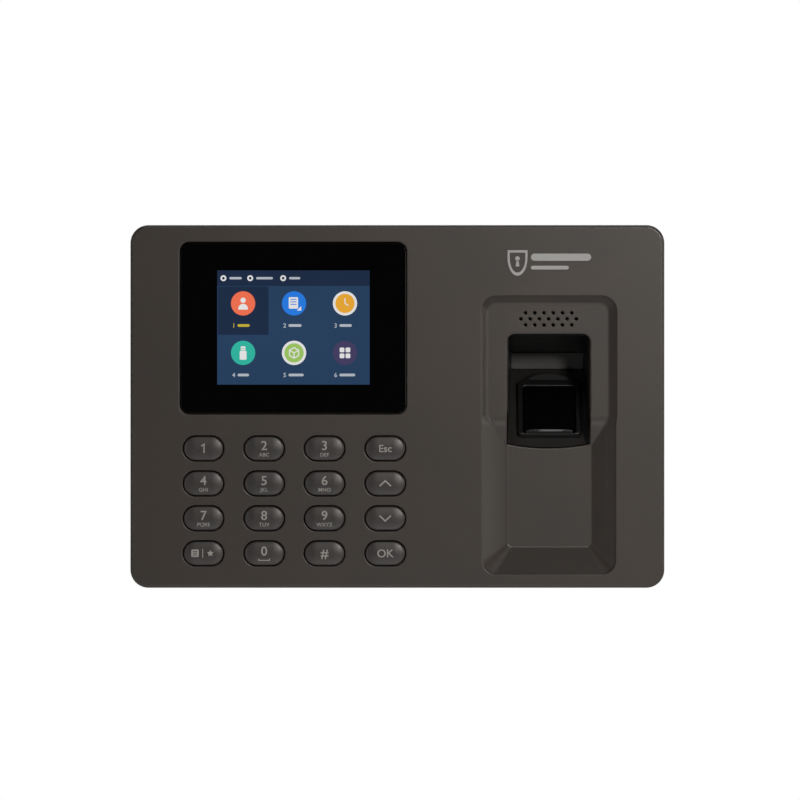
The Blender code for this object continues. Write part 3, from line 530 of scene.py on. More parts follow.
def ramp_fall(run):
    """How far the ramp has gone down after a run from its start: a round start, then straight."""
    turn = RAMP_RADIUS * math.sin(RAMP_TILT)
    if run < turn:
        return RAMP_RADIUS - math.sqrt(RAMP_RADIUS**2 - max(run, 0.0) ** 2)
    return RAMP_RADIUS * (1 - math.cos(RAMP_TILT)) + (run - turn) * math.tan(RAMP_TILT)


def ramp_run(fall):
    """How far from its start the ramp has that fall."""
    turned = RAMP_RADIUS * (1 - math.cos(RAMP_TILT))
    if fall < turned:
        return math.sqrt(RAMP_RADIUS**2 - (RAMP_RADIUS - max(fall, 0.0)) ** 2)
    return RAMP_RADIUS * math.sin(RAMP_TILT) + (fall - turned) / math.tan(RAMP_TILT)


RAMP_REACH = ramp_run(LOWER_DEPTH - UPPER_DEPTH)
RAMP_START = LOWER_FLOOR[3] + RAMP_REACH


def lower_recess_rings():
    """The channel: three straight slopes, and a ramp that curves down from the upper recess."""
    edge, foot = CHANNEL_EDGE, CHANNEL_FOOT
    plain = recess_rings(LOWER_FLOOR, LOWER_MOUTH, LOWER_DEPTH, (4.6, 1.6), (0.6, 0.6), edge, foot)
    levels = {ring[0][1] - FACE for ring in plain}
    levels |= {UPPER_DEPTH + ramp_fall(RAMP_REACH * i / 18) for i in range(18)}
    rings = []
    for level in sorted(levels):
        below = max(level - UPPER_DEPTH, 0.0)
        top = RAMP_START - ramp_run(below) + max(UPPER_DEPTH - level, 0.0) * RAMP_LEAD
        rect = [LOWER_MOUTH[i] + side_offset(i, level, edge, foot) for i in range(3)] + [top]
        share = min(max(level / LOWER_DEPTH, 0.0), 1.0)
        outline = rounded_rect(rect, between(4.6, 1.6, share), 10, between(0.35, 0.3, share))
        corner = len(outline) // 4
        outline.insert(3 * corner, (rect[0], top - SHOULDER_REACH))
        outline.insert(corner, (rect[1], top - SHOULDER_REACH))
        rings.append(at_depth(outline, FACE + level))
    return rings


def side_offset(index, level, edge, foot):
    """How far one side of the channel has drawn in at a depth."""
    run = LOWER_FLOOR[index] - LOWER_MOUTH[index]
    return drawn_in(level, run, LOWER_DEPTH, edge, foot)


def side_profile(run, depth, edge, foot, steps=4):
    """(offset, y) pairs down one sloping side, with a round edge above and a round foot below.

    Every side uses the same depths, so the rings stay level.
    """
    turns = [1 - math.cos(math.radians(50) * i / steps) for i in range(steps + 1)]
    depths = [-0.02] + [edge * turn for turn in turns]
    depths += [between(depths[-1], depth, share) for share in (0.33, 0.66)]
    depths += [depth - foot * turn for turn in reversed(turns)]
    return [(drawn_in(d, run, depth, edge, foot), FACE + d) for d in depths]


def drawn_in(d, run, depth, edge, foot):
    """How far in from the mouth line a side is at depth d, if it runs in that far in all."""
    slope = abs(run) / depth
    angle = math.atan2(depth, abs(run))
    offset = slope * d
    if d < edge * (1 - math.cos(angle)):
        sweep = math.acos(min(1.0, 1 - max(d, 0.0) / edge))
        offset = edge * math.sin(sweep) - edge * math.tan(angle / 2) + min(d, 0.0) * 8
    elif depth - d < foot * (1 - math.cos(angle)):
        sweep = math.acos(1 - max(depth - d, 0.0) / foot)
        offset = slope * depth + foot * math.tan(angle / 2) - foot * math.sin(sweep)
    return math.copysign(offset, run)


def from_above(rings):
    """Rings carried on from a little in front of the face, so that a tool cuts cleanly."""
    return [[(x, FACE - 2.0, z) for x, _, z in rings[0]], *rings]


def well_tool(name, rects, radius, edge, bottom, count=10):
    """Straight-sided wells whose mouths have a round edge."""
    bm = bmesh.new()
    for rect in rects:
        rings = []
        for out, drop in quarter(edge, 4):
            out, drop = (out, drop) if drop else (out + 0.03, -0.004)
            rings.append(at_depth(rounded_rect(grown(rect, out), radius + out, count), FACE + drop))
        rings.append(at_depth(rounded_rect(rect, radius, count), bottom))
        loft(bm, from_above(rings))
    return new_mesh_object(name, bm)


def opening_outline(inset, top):
    """The sensor opening: square sides, rounded upper corners and a bottom edge that sags."""
    low, high = OPENING_X[0] + inset, OPENING_X[1] - inset
    middle = (low + high) / 2
    radius, spread = bow((high - low) / 2, OPENING_SAG)
    centre = (middle, OPENING_SIDE - OPENING_SAG + inset + radius)
    bottom = arc(centre, radius, 270 - spread, 270 + spread, 20)
    corner = OPENING_CORNER - inset
    right = [(high, z) for z in OPENING_RISES]
    right += arc((high - corner, top - inset - corner), corner, 0, 90, 8)
    left = arc((low + corner, top - inset - corner), corner, 90, 180, 8)
    left += [(low, z) for z in reversed(OPENING_RISES)]
    return bottom + right + left


def bay_level(z):
    """The depth at which the bay's surface meets the opening's side at height z."""
    return FACE + min(UPPER_DEPTH + ramp_fall(RAMP_START - z), LOWER_DEPTH)


def opening_tool():
    """Cuts the opening with a small round edge that follows the bay's surface."""
    base = opening_outline(0, OPENING_TOP)
    rings = [at_depth(opening_outline(-OPENING_EDGE - 0.02, OPENING_TOP), FACE - 1.0)]
    for out, drop in quarter(OPENING_EDGE, 4):
        out, drop = (out, drop) if drop else (out + 0.02, -0.004)
        outline = opening_outline(-out, OPENING_TOP)
        rings.append([(x, bay_level(b[1]) + drop, z) for (x, z), b in zip(outline, base)])
    rings.append(at_depth(base, FACE + 10.0))
    return solid("opening_tool", rings)


def grille_tool():
    bm = bmesh.new()
    level = FACE + UPPER_DEPTH
    for z, count in GRILLE_ROWS:
        start = GRILLE_X - GRILLE_PITCH * (count - 1) / 2
        for i in range(count):
            centre = (start + GRILLE_PITCH * i, z)
            section = ((0.13, -0.6), (0.12, -0.004), (0.03, 0.05), (0.0, 0.15), (0.0, 3.0))
            loft(bm, [at_depth(circle(centre, GRILLE_RADIUS + out), level + y) for out, y in section])
    return new_mesh_object("grille_tool", bm)


def cover_body():
    """The cover's outside: the face with its rounded rim, the side walls, and the hollow behind."""
    outer = (COVER_LOW.x, COVER_HIGH.x, COVER_LOW.z, COVER_HIGH.z)
    section = [(inset, FACE + drop) for inset, drop in quarter(RIM, 8)]
    section += [(0.0, SPLIT - 0.3), (0.08, SPLIT - 0.08), (0.28, SPLIT)]
    rings = []
    for inset, y in section:
        rings.append(at_depth(rounded_rect(grown(outer, -inset), CORNER - inset, 14), y))
    body = solid("front_shell", rings)
    room = slab(
        "room",
        (outer[0] + SIDE_WALL, outer[1] - SIDE_WALL),
        (FACE + FACE_WALL, 0),
        (outer[2] + SIDE_WALL, outer[3] - SIDE_WALL),
        CORNER - SIDE_WALL,
    )
    combine(body, "DIFFERENCE", [room])
    low = slab("low", CHANNEL_BACKING[0], (FACE + 2.0, LOWER_BACK), CHANNEL_BACKING[1])
    high = slab("high", BAY_BACKING[0], (FACE + 1.6, UPPER_BACK), BAY_BACKING[1])
    combine(body, "UNION", [low, high])
    return body


def front_shell():
    body = cover_body()
    window = (WINDOW_LOW.x, WINDOW_HIGH.x, WINDOW_LOW.z, WINDOW_HIGH.z)
    tools = [
        well_tool("pocket", [grown(window, 0.12)], 3.12, 0.25, WINDOW_HIGH.y + GAP),
        well_tool("wells", key_wells(), 10.0, 0.3, FACE + FACE_WALL + 1, 14),
        solid("upper_recess", from_above(upper_recess_rings())),
        solid("lower_recess", from_above(lower_recess_rings())),
        opening_tool(),
        grille_tool(),
    ]
    usb_low, usb_high = box_mm("usb_port")
    usb = slab(
        "usb_hole",
        (COVER_LOW.x - 1, COVER_LOW.x + 4),
        (usb_low.y - GAP, usb_high.y + GAP),
        (usb_low.z - GAP, usb_high.z + GAP),
    )
    combine(body, "DIFFERENCE", tools + [usb])
    settle(body, SHELL, replaces="front_cover")
    return body


def key_wells():
    """The key openings: each key's cap with an even gap round it."""
    wells = []
    for node in KEY_NODES:
        low, high = box_mm(node)
        wells.append(grown((low.x, high.x, low.z, high.z), GAP - KEY_FLANGE))
    return wells


# ---------------------------------------------------------------- keys


def key_crown(inward):
    """How far the cap's surface lies behind its crest, that far in from its outline."""
    crest = KEY_CREST * (1 - min(inward / KEY_RADIUS, 1.0)) ** 2
    if inward >= KEY_EDGE:
        return crest
    return crest + KEY_SHOULDER * (1 - math.sqrt(1 - (1 - inward / KEY_EDGE) ** 2))


def stadium(centre, half_length, radius, count=14):
    x, z = centre
    right = arc((x + half_length, z), radius, -90, 90, count)
    left = arc((x - half_length, z), radius, 90, 270, count)
    return right + left


def key_cap(node):
    """A domed cap with a rounded shoulder, on the flange that keeps it in its well."""
    low, high = box_mm(node)
    centre = middle_of(node)
    half_length = (high.x - low.x - (high.z - low.z)) / 2
    wide = KEY_RADIUS + KEY_FLANGE
    flange_front = low.y + KEY_FLANGE_FRONT
    section = [
        (wide - 0.1, high.y),
        (wide, high.y - 0.1),
        (wide, flange_front + 0.1),
        (wide - 0.1, flange_front),
        (KEY_RADIUS + 0.15, flange_front),
        (KEY_RADIUS, flange_front - 0.15),
    ]
    inset = [inward for _, inward in quarter(KEY_EDGE, 6)]
    inset += [between(KEY_EDGE, KEY_RADIUS - 0.2, i / 6) for i in range(1, 7)]
    section += [(KEY_RADIUS - inward, low.y + key_crown(inward)) for inward in inset]
    rings = [at_depth(stadium(centre, half_length, radius), y) for radius, y in section]
    cap = solid(f"cap_{node}", rings)
    settle(cap, KEY, body=node, replaces=node)
    return centre, half_length, low.y


def text_mesh(body, height, spacing=1.0, bold=0.0):
    """Flat generic lettering as a bmesh in millimetres, centred, with capitals of that height."""
    curve = bpy.data.curves.new("lettering", "FONT")
    curve.body = body
    curve.align_x = "CENTER"
    curve.space_character = spacing
    curve.offset = bold
    curve.resolution_u = 4
    obj = bpy.data.objects.new("lettering", curve)
    bpy.context.scene.collection.objects.link(obj)
    bpy.context.view_layer.update()
    graph = bpy.context.evaluated_depsgraph_get()
    mesh = bpy.data.meshes.new_from_object(obj.evaluated_get(graph))
    bpy.data.objects.remove(obj, do_unlink=True)
    bpy.data.curves.remove(curve)
    bm = bmesh.new()
    bm.from_mesh(mesh)
    bpy.data.meshes.remove(mesh)
    bmesh.ops.remove_doubles(bm, verts=bm.verts, dist=1e-5)
    scale = height / CAPITAL_HEIGHT
    for vert in bm.verts:
        vert.co = Vector((vert.co.x, 0, vert.co.y - CAPITAL_HEIGHT / 2)) * scale
    return bm


def flat_shape(outlines):
    """A flat bmesh filled between closed (x, z) outlines; inner outlines are holes."""
    bm = bmesh.new()
    edges = []
    for outline in outlines:
        verts = [bm.verts.new((x, 0, z)) for x, z in outline]
        edges += [bm.edges.new(pair) for pair in zip(verts, verts[1:] + verts[:1])]
    bmesh.ops.triangle_fill(bm, edges=edges, use_beauty=True, normal=(0, -1, 0))
    return bm


def filled(*outlines):
    """A flat shape that stays where it is drawn."""
    return (flat_shape(outlines), (0, 0))


def stroke(points, width):
    """The outline of a line of that width through a few points, with mitred corners."""
    left, right = [], []
    for index, point in enumerate(points):
        here = Vector(point)
        before = Vector(points[max(index - 1, 0)])
        after = Vector(points[min(index + 1, len(points) - 1)])
        first = (here - before).normalized() if index else (after - here).normalized()
        last = (after - here).normalized() if index < len(points) - 1 else first
        side = Vector((-(first + last).y, (first + last).x)).normalized()
        reach = width / 2 / max(side.dot(Vector((-last.y, last.x))), 0.3)
        left.append(tuple(here + side * reach))
        right.append(tuple(here - side * reach))
    return left + right[::-1]


def bar(centre, width, height):
    x, z = centre
    return rounded_rect((x - width / 2, x + width / 2, z - height / 2, z + height / 2), height / 2, 3)


def gather(shapes):
    """One bmesh from several (bmesh, (x, z) shift) pairs."""
    gathered = bmesh.new()
    for shape, shift in shapes:
        bmesh.ops.translate(shape, verts=shape.verts, vec=(shift[0], 0, shift[1]))
        mesh = bpy.data.meshes.new("shape")
        shape.to_mesh(mesh)
        shape.free()
        gathered.from_mesh(mesh)
        bpy.data.meshes.remove(mesh)
    return gathered


def refine(bm, longest):
    """Splits long edges, so that a flat shape can follow a curved surface."""
    bmesh.ops.triangulate(bm, faces=bm.faces)
    for _ in range(4):
        long_edges = [edge for edge in bm.edges if edge.calc_length() > longest]
        if not long_edges:
            break
        bmesh.ops.subdivide_edges(bm, edges=long_edges, cuts=1)
        bmesh.ops.triangulate(bm, faces=bm.faces)


def printed(name, bm, level, film=0.012, root=0.05, longest=None):
    """A film of ink on the surface y = level(x, z), whose root sits just inside the surface."""
    if longest:
        refine(bm, longest)
    made = bmesh.ops.extrude_face_region(bm, geom=bm.faces[:], use_keep_orig=True)
    roots = {item for item in made["geom"] if isinstance(item, bmesh.types.BMVert)}
    for vert in bm.verts:
        y = level(vert.co.x, vert.co.z) + (root if vert in roots else -film)
        vert.co = Vector((vert.co.x, y, vert.co.z)) * MM
    return new_mesh_object(name, bm)


def key_marks():
    """What is printed on each key, drawn about the key's centre."""
    marks = {}
    letters = ("", "ABC", "DEF", "GHI", "JKL", "MNO", "PQRS", "TUV", "WXYZ")
    for digit in range(1, 10):
        shapes = [(text_mesh(str(digit), DIGIT_HEIGHT, bold=0.006), (0, 0.95))]
        if letters[digit - 1]:
            shapes.append((text_mesh(letters[digit - 1], LETTER_HEIGHT, 1.05, 0.004), (0, -2.0)))
        marks[f"key_{digit}"] = shapes
    one = [(-0.75, 0.8), (0.2, 1.3), (0.2, -1.45)]
    marks["key_1"] = [filled(stroke(one, 0.38))]
    space = [(-1.7, -1.7), (-1.7, -2.25), (1.7, -2.25), (1.7, -1.7)]
    marks["key_0"] = [
        (text_mesh("0", DIGIT_HEIGHT, bold=0.006), (0, 0.75)),
        filled(stroke(space, 0.28)),
    ]
    marks["key_star"] = star_key_marks()
    marks["key_hash"] = [(text_mesh("#", DIGIT_HEIGHT, bold=0.010), (0, 0))]
    marks["key_esc"] = [(text_mesh("Esc", 2.25, bold=0.010), (0, 0))]
    marks["key_ok"] = [(text_mesh("OK", 2.5, bold=0.008), (0, 0))]
    marks["key_up"] = [filled(stroke(CHEVRON, CHEVRON_WIDTH))]
    flipped = [(x, -z) for x, z in CHEVRON]
    marks["key_down"] = [filled(stroke(flipped, CHEVRON_WIDTH))]
    return marks


def star_key_marks():
    """A small panel with three lines, a divider and a star."""
    panel = rounded_rect((-3.9, -1.5, -1.15, 1.25), 0.35, 3)
    slots = [rounded_rect((-3.45, -1.95, z - 0.13, z + 0.13), 0.1, 2) for z in (-0.55, 0.05, 0.65)]
    star = []
    for index in range(10):
        radius = 1.15 if index % 2 == 0 else 0.5
        angle = math.radians(90 + 36 * index)
        star.append((2.2 + radius * math.cos(angle), radius * math.sin(angle)))
    divider = rounded_rect((-0.35, -0.1, -1.4, 1.4), 0.1, 2)
    return [
        filled(panel, *slots),
        filled(divider),
        filled(star),
    ]


def keys():
    for node, shapes in key_marks().items():
        centre, half_length, front = key_cap(node)

        def level(x, z, centre=centre, half_length=half_length, front=front):
            across = max(abs(x - centre[0]) - half_length, 0.0)
            inward = KEY_RADIUS - math.hypot(across, z - centre[1])
            return front + key_crown(max(inward, 0.0))

        shifted = [(shape, (x + centre[0], z + centre[1])) for shape, (x, z) in shapes]
        mark = printed(f"mark_{node}", gather(shifted), level, longest=0.5)
        settle(mark, PRINT, node)


# ---------------------------------------------------------------- display


def display_lens():
    """The black gloss window with its polished chamfer."""
    rect = (WINDOW_LOW.x, WINDOW_HIGH.x, WINDOW_LOW.z, WINDOW_HIGH.z)
    section = ((-0.1, WINDOW_HIGH.y), (0.0, WINDOW_HIGH.y - 0.1), (0.0, WINDOW_LOW.y + 0.30))
    section += ((-0.03, WINDOW_LOW.y + 0.24), (-0.27, WINDOW_LOW.y + 0.02), (-0.33, WINDOW_LOW.y))
    rings = [at_depth(rounded_rect(grown(rect, by), LENS_CORNER + by, 12), y) for by, y in section]
    lens = solid("display_lens", rings)
    settle(lens, LENS, replaces="display_window", angle=30)


def flat_level(x, z):
    return WINDOW_LOW.y


def screen_layer(name, shapes, material, layer):
    """A layer of the picture that shows through the lens, each a hair in front of the last."""
    film = SCREEN_FILM * (layer + 1)
    piece = printed(name, gather(shapes), flat_level, film=film, root=0.02)
    settle(piece, material)


def icon_person():
    shoulders = arc((0, -1.7), 1.55, 0, 180, 14) + [(-1.55, -2.0), (1.55, -2.0)]
    return [filled(circle((0, 1.0), 0.85, 16)), filled(shoulders)]


def icon_document():
    page = rounded_rect((-1.7, 1.3, -1.7, 2.0), 0.3, 3)
    lines = [rounded_rect((-1.2, 0.8, z - 0.14, z + 0.14), 0.1, 2) for z in (-0.3, 0.5, 1.3)]
    corner = [(0.9, -2.3), (2.3, -2.3), (2.3, -0.9)]
    return [filled(page, *lines), filled(corner)]


def icon_drive():
    case = rounded_rect((-1.1, 1.1, -2.2, 0.7), 0.35, 3)
    plug = rounded_rect((-0.75, 0.75, 0.85, 2.1), 0.15, 2)
    pins = [rounded_rect((x - 0.16, x + 0.16, 1.2, 1.55), 0.05, 1) for x in (-0.33, 0.33)]
    return [filled(case), filled(plug, *pins)]


def icon_squares():
    squares = []
    for x in (-0.95, 0.95):
        for z in (-0.95, 0.95):
            square = rounded_rect((x - 0.75, x + 0.75, z - 0.75, z + 0.75), 0.3, 3)
            squares.append(filled(square))
    return squares


def icon_clock():
    hands = [(0, 1.7), (0, 0), (1.1, -0.7)]
    return [filled(stroke(hands, 0.34))]


def icon_cube():
    """A cube seen corner on: its outline with three edges meeting in the middle."""
    corners = [polar(1.9, 90 + 60 * i) for i in range(6)]
    inner = [polar(1.5, 90 + 60 * i) for i in range(6)]
    shapes = [filled(corners, inner)]
    for angle in (30, 150, 270):
        shapes.append(filled(stroke([(0, 0), polar(1.7, angle)], 0.32)))
    return shapes


def polar(radius, degrees):
    angle = math.radians(degrees)
    return (radius * math.cos(angle), radius * math.sin(angle))


def moved(shapes, place):
    return [(shape, (x + place[0], z + place[1])) for shape, (x, z) in shapes]


def display_picture():
    """A menu of six numbered round icons under a header bar; labels are neutral bars."""
    low, high = box_mm("lcd_panel")
    x0, x1 = low.x + PANEL_LEFT, high.x - PANEL_RIGHT
    z0, z1 = low.z + PANEL_BELOW, high.z - PANEL_ABOVE
    header = z1 - HEADER_HEIGHT
    plain = rounded_rect((x0, x1, z0, z1), 0.05, 1)
    screen_layer("screen_background", [filled(plain)], SCREEN_BLUE, 0)
    strip = rounded_rect((x0, x1, header, z1), 0.05, 1)
    screen_layer("screen_header", [filled(strip)], SCREEN_NAVY, 1)
    columns = [between(x0, x1, share) for share in (0.17, 0.504, 0.838)]
    rows = [z0 + 26.1, z0 + 10.2]
    tile = rounded_rect((x0 + 0.2, x0 + 16.5, header - 15.7, header - 0.2), 0.3, 2)
    screen_layer("screen_selection", [filled(tile)], SCREEN_NAVY, 1)
    icons = (
        ("screen_icon_user", SCREEN_ORANGE, icon_person(), False, 3.9),
        ("screen_icon_records", SCREEN_AZURE, icon_document(), False, 4.2),
        ("screen_icon_shift", SCREEN_GOLD, icon_clock(), True, 4.0),
        ("screen_icon_drive", SCREEN_TEAL, icon_drive(), False, 3.7),
        ("screen_icon_device", SCREEN_GREEN, icon_cube(), True, 4.9),
        ("screen_icon_system", SCREEN_PURPLE, icon_squares(), False, 5.1),
    )
    white, labels, chosen = [], [], []
    for index, (name, colour, symbol, rim, width) in enumerate(icons):
        place = (columns[index % 3], rows[index // 3])
        disc = filled(circle((0, 0), ICON_FIELD if rim else ICON_RADIUS, 40))
        screen_layer(name, moved([disc], place), colour, 2)
        if rim:
            ring = filled(circle((0, 0), ICON_RADIUS, 40), circle((0, 0), ICON_FIELD, 40))
            white += moved([ring], place)
        white += moved(symbol, place)
        label = (place[0], place[1] - 7.1)
        words = chosen if index == 0 else labels
        words += moved([(text_mesh(str(index + 1), 1.35, bold=0.012), (-3.0, 0))], label)
        words.append(filled(bar((label[0] + width / 2 - 1.8, label[1]), width, 0.85)))
    z = (header + z1) / 2
    for along, width in ((2.0, 4.0), (10.6, 5.4), (21.2, 3.6)):
        x = x0 + along
        white.append(filled(circle((x, z), 0.95, 20), circle((x, z), 0.45, 12)))
        labels.append(filled(bar((x + 1.9 + width / 2, z), width, 0.75)))
    screen_layer("screen_symbols", white, SCREEN_WHITE, 3)
    screen_layer("screen_labels", labels, SCREEN_PALE, 3)
    screen_layer("screen_chosen_label", chosen, SCREEN_YELLOW, 3)


def emblem():
    """A generic mark above the sensor bay: a shield with a keyhole, and two bars."""
    x, z = EMBLEM_X, EMBLEM_Z
    shield = shield_outline(x, z, 1.0)
    inner = shield_outline(x, z, 0.78)
    keyhole = circle((x, z + 0.9), 0.75, 16)
    stem = [(x - 0.32, z + 0.4), (x - 0.62, z - 1.6), (x + 0.62, z - 1.6), (x + 0.32, z + 0.4)]
    shapes = [
        filled(shield, inner),
        filled(keyhole),
        filled(stem),
        filled(bar((52.6, z + 1.35), 19.4, 2.3)),
        filled(bar((49.0, z - 2.0), 12.2, 1.2)),
    ]
    mark = printed("emblem", gather(shapes), lambda x, z: FACE, film=0.015, root=0.05)
    settle(mark, EMBLEM)


def shield_outline(x, z, size):
    """A heater shield: a flat top and two curved sides that meet in a point."""
    top, side, width, drop = 3.6 * size, 1.2 * size, 3.2 * size, 4.6 * size
    points = [(x - width, z + top), (x + width, z + top)]
    for turn in (math.radians(90) * i / 12 for i in range(25)):
        points.append((x + width * math.cos(turn), z + side - (side + drop) * math.sin(turn)))
    return points


# ---------------------------------------------------------------- fingerprint sensor


def prism_mesh(name, outline, ends):
    """A solid of one (y, z) outline between two x positions."""
    return solid(name, [[(x, y, z) for y, z in outline] for x in ends])


def chamber():
    """The black chamber behind the opening: a sloping roof, a back wall and a 45 degree floor."""
    back = CHAMBER_BACK + CHAMBER_WALL
    x = (OPENING_X[0] - CHAMBER_WALL, OPENING_X[1] + CHAMBER_WALL)
    foot = LOWER_BACK + GAP
    outer = [
        (UPPER_BACK + GAP, ROOF_FRONT + CHAMBER_WALL),
        (back, ROOF_BACK + CHAMBER_WALL),
        (back, back + FLOOR_OFFSET - 2.0),
        (foot, foot + FLOOR_OFFSET - 2.6),
        (foot, -0.8),
        (UPPER_BACK + GAP, -0.8),
    ]
    shell = prism_mesh("sensor_chamber", outer, x)
    outline = opening_outline(GAP - 0.05, 10)
    front = [(x, bay_level(z) + LIP_SINK, z) for x, z in outline]
    lip = solid("lip", [front, at_depth(outline, LOWER_BACK + 1.5)])
    low_half = slab("low_half", (30, 70), (FACE, LOWER_BACK + 1.4), (-20, -2.0))
    combine(lip, "INTERSECT", [low_half])
    combine(shell, "UNION", [lip])
    combine(shell, "DIFFERENCE", [chamber_room(), module_tool("module_hole", 0.06)])
    finish_surface(shell, BLACK, 40)
    # The faces sloping up towards the front take the paler black: painted light on the chamber floor.
    shell.data.materials.append(PAINTED_LIT_FLOOR)
    slope = Vector((0, -1, 1)).normalized()
    for face in shell.data.polygons:
        if face.normal.dot(slope) > 0.99:
            face.material_index = 1
    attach(shell, "terminal")
    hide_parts("sensor_bezel")


def chamber_room():
    """The space in the chamber. Its sides draw in towards the back, as moulded walls do."""
    points = [
        (FACE - 4.0, ROOF_FRONT + 1.0),
        (CHAMBER_BACK - 1.0, ROOF_BACK + 0.2),
        (CHAMBER_BACK - 0.3, ROOF_BACK - 0.1),
        (CHAMBER_BACK, ROOF_BACK - 0.8),
        (CHAMBER_BACK, CHAMBER_BACK + FLOOR_OFFSET + 0.5),
        (CHAMBER_BACK - 0.4, CHAMBER_BACK + FLOOR_OFFSET - 0.25),
        (FACE - 4.0, FACE - 4.0 + FLOOR_OFFSET),
    ]
    bm = bmesh.new()
    rings = []
    for side, sign in ((OPENING_X[0], 1), (OPENING_X[1], -1)):
        ring = []
        for y, z in points:
            draft = max(y - FACE - UPPER_DEPTH, 0.0) / (CHAMBER_BACK - FACE - UPPER_DEPTH)
            ring.append((side + sign * CHAMBER_DRAFT * draft, y, z))
        rings.append(ring)
    loft(bm, rings)
    bmesh.ops.triangulate(bm, faces=bm.faces)
    return new_mesh_object("chamber_room", bm)


def chamber_back_panel():
    """The satin panel that closes the chamber's back wall."""
    x = (OPENING_X[0] + CHAMBER_DRAFT + 0.15, OPENING_X[1] - CHAMBER_DRAFT - 0.15)
    z = (CHAMBER_BACK + FLOOR_OFFSET + 0.1, ROOF_BACK - 0.1)
    rings = []
    for inset, rise in ((0.0, 0.02), (0.0, 0.35), (0.15, 0.5)):
        outline = rounded_rect(grown((*x, *z), -inset), 0.9 - inset)
        rings.append(at_depth(outline, CHAMBER_BACK - rise))
    panel = solid("chamber_back_panel", rings)
    settle(panel, SATIN)


def module_outline(grow):
    """The reader's housing seen square on: straight sides and an arched hood above the window."""
    half = MODULE_HALF_WIDTH
    radius, spread = bow(half, MODULE_TOP - MODULE_SHOULDER)
    foot = MODULE_BOTTOM + MODULE_CORNER
    points = arc((half - MODULE_CORNER, foot), MODULE_CORNER, -90, 0, 6)
    points += [(half, z) for z in MODULE_RISES]
    points += arc((0, MODULE_TOP - radius), radius, 90 - spread, 90 + spread, 20)
    points += [(-half, z) for z in reversed(MODULE_RISES)]
    points += arc((-half + MODULE_CORNER, foot), MODULE_CORNER, 180, 270, 6)
    middle = (MODULE_TOP + MODULE_BOTTOM) / 2
    wide = 1 + grow / half
    tall = 1 + grow / (MODULE_TOP - middle)
    return [(x * wide, middle + (z - middle) * tall) for x, z in points]


def tilted(obj):
    """Turns a piece drawn upright about the reader's centre to the window's tilt."""
    turn = Matrix.Rotation(READER_TILT, 4, "X")
    place = Matrix.Translation(Vector(MODULE_CENTRE) * MM)
    obj.data.transform(place @ turn)
    return obj


def module_tool(name, grow):
    outline = module_outline(grow)
    return tilted(solid(name, [at_depth(outline, -6.0), at_depth(outline, 11.0)]))


def sensor_housing():
    """The reader's glossy frame, with an arched hood and a window whose edges are rounded."""
    rings = [at_depth(module_outline(-0.1), 6.0), at_depth(module_outline(0), 5.8)]
    for rise, inset in quarter(MODULE_EDGE, 5):
        rings.append(at_depth(module_outline(-inset), MODULE_FRONT + rise))
    housing = solid("sensor_housing", rings)
    rect = (*MODULE_WINDOW_X, *MODULE_WINDOW_Z)
    rings = []
    for out, drop in quarter(WINDOW_EDGE, 5):
        outline = rounded_rect(grown(rect, out), WINDOW_CORNER + out)
        rings.append(at_depth(outline, MODULE_FRONT + (drop or -0.01)))
    rings.insert(0, [(x, MODULE_FRONT - 4.0, z) for x, _, z in rings[0]])
    rings.append(at_depth(rounded_rect(rect, WINDOW_CORNER), 7.0))
    window = solid("window_hole", rings)
    combine(housing, "DIFFERENCE", [window])
    tilted(housing)
    settle(housing, HOUSING, replaces="sensor_body", angle=45)


def sensor_hood():
    """The arched stop behind the window, which a fingertip meets."""
    half = HOOD_HALF_WIDTH
    radius, spread = bow(half, HOOD_TOP - HOOD_SHOULDER)
    middle = MODULE_CENTRE[0]
    centre = (middle, HOOD_TOP - radius)
    front = HOOD_SHOULDER - (MODULE_CENTRE[2] - MODULE_CENTRE[1]) - 0.9
    rings = []
    for inset, behind in ((0.0, 5.0), (0.0, 1.0), (0.1, 0.5), (0.35, 0.15), (0.8, 0.0)):
        top = arc(centre, radius - inset, 90 - spread, 90 + spread, 24)
        ring = [(middle + half, HOOD_FOOT)] + top + [(middle - half, HOOD_FOOT)]
        rings.append([(x, front + behind + (z - HOOD_FOOT) * HOOD_LEAN, z) for x, z in ring])
    hood = solid("sensor_hood", rings)
    settle(hood, HOOD, angle=50)


def glass_outline(inset):
    """The window's outline, whose lower corners are the rounder ones."""
    half = GLASS_HALF_WIDTH - inset
    rect = (-half, half, GLASS_Z[0] + inset, GLASS_Z[1] - inset)
    return rounded_rect(rect, 1.5 - inset, 10, 1.1 - inset)


def sensor_glass():
    """The optical prism: a polished raised window whose lower edge has a ground bevel, pale partly as
    a painted highlight.
    """
    rings = [at_depth(glass_outline(0.0), 0.8)]
    for inset, behind in ((0.0, 0.5), (0.1, 0.2), (0.25, 0.06), (0.5, 0.0)):
        rings.append(at_depth(glass_outline(inset), GLASS_FRONT + behind))
    glass = solid("sensor_glass", rings)
    outline = [(0.7, -9.6), (0.7, 9.2), (4.8, 4.2), (4.8, -4.2)]
    ends = (-GLASS_HALF_WIDTH + 0.4, GLASS_HALF_WIDTH - 0.4)
    combine(glass, "UNION", [prism_mesh("prism", outline, ends)])
    tilted(glass)
    settle(glass, OPTIC, replaces="sensor_prism", angle=30)
    ground_bevel()


def ground_bevel():
    """The ground strip along the window's lower edge, thinning out to its ends; its pale tone is
    partly a painted highlight along that edge.
    """
    front = GLASS_FRONT
    half = GLASS_HALF_WIDTH - 1.1
    low = GLASS_Z[0]
    rings = []
    for share in (-1.0, -0.9, -0.7, -0.3, 0.3, 0.7, 0.9, 1.0):
        reach = 0.12 + 0.62 * (1 - share**2) ** 0.5
        upper = low + 0.3 + reach
        points = [(front + 0.5, low + 0.02), (front + 0.5 - reach * 0.75, low + 0.02 + reach * 0.5)]
        points += [(front - 0.03, upper), (front + 0.6, upper)]
        rings.append([(half * share, y, z) for y, z in points])
    bevel = tilted(solid("sensor_glass_bevel", rings))
    settle(bevel, GROUND_EDGE_HIGHLIGHT, angle=30)


# ---------------------------------------------------------------- keypad mat


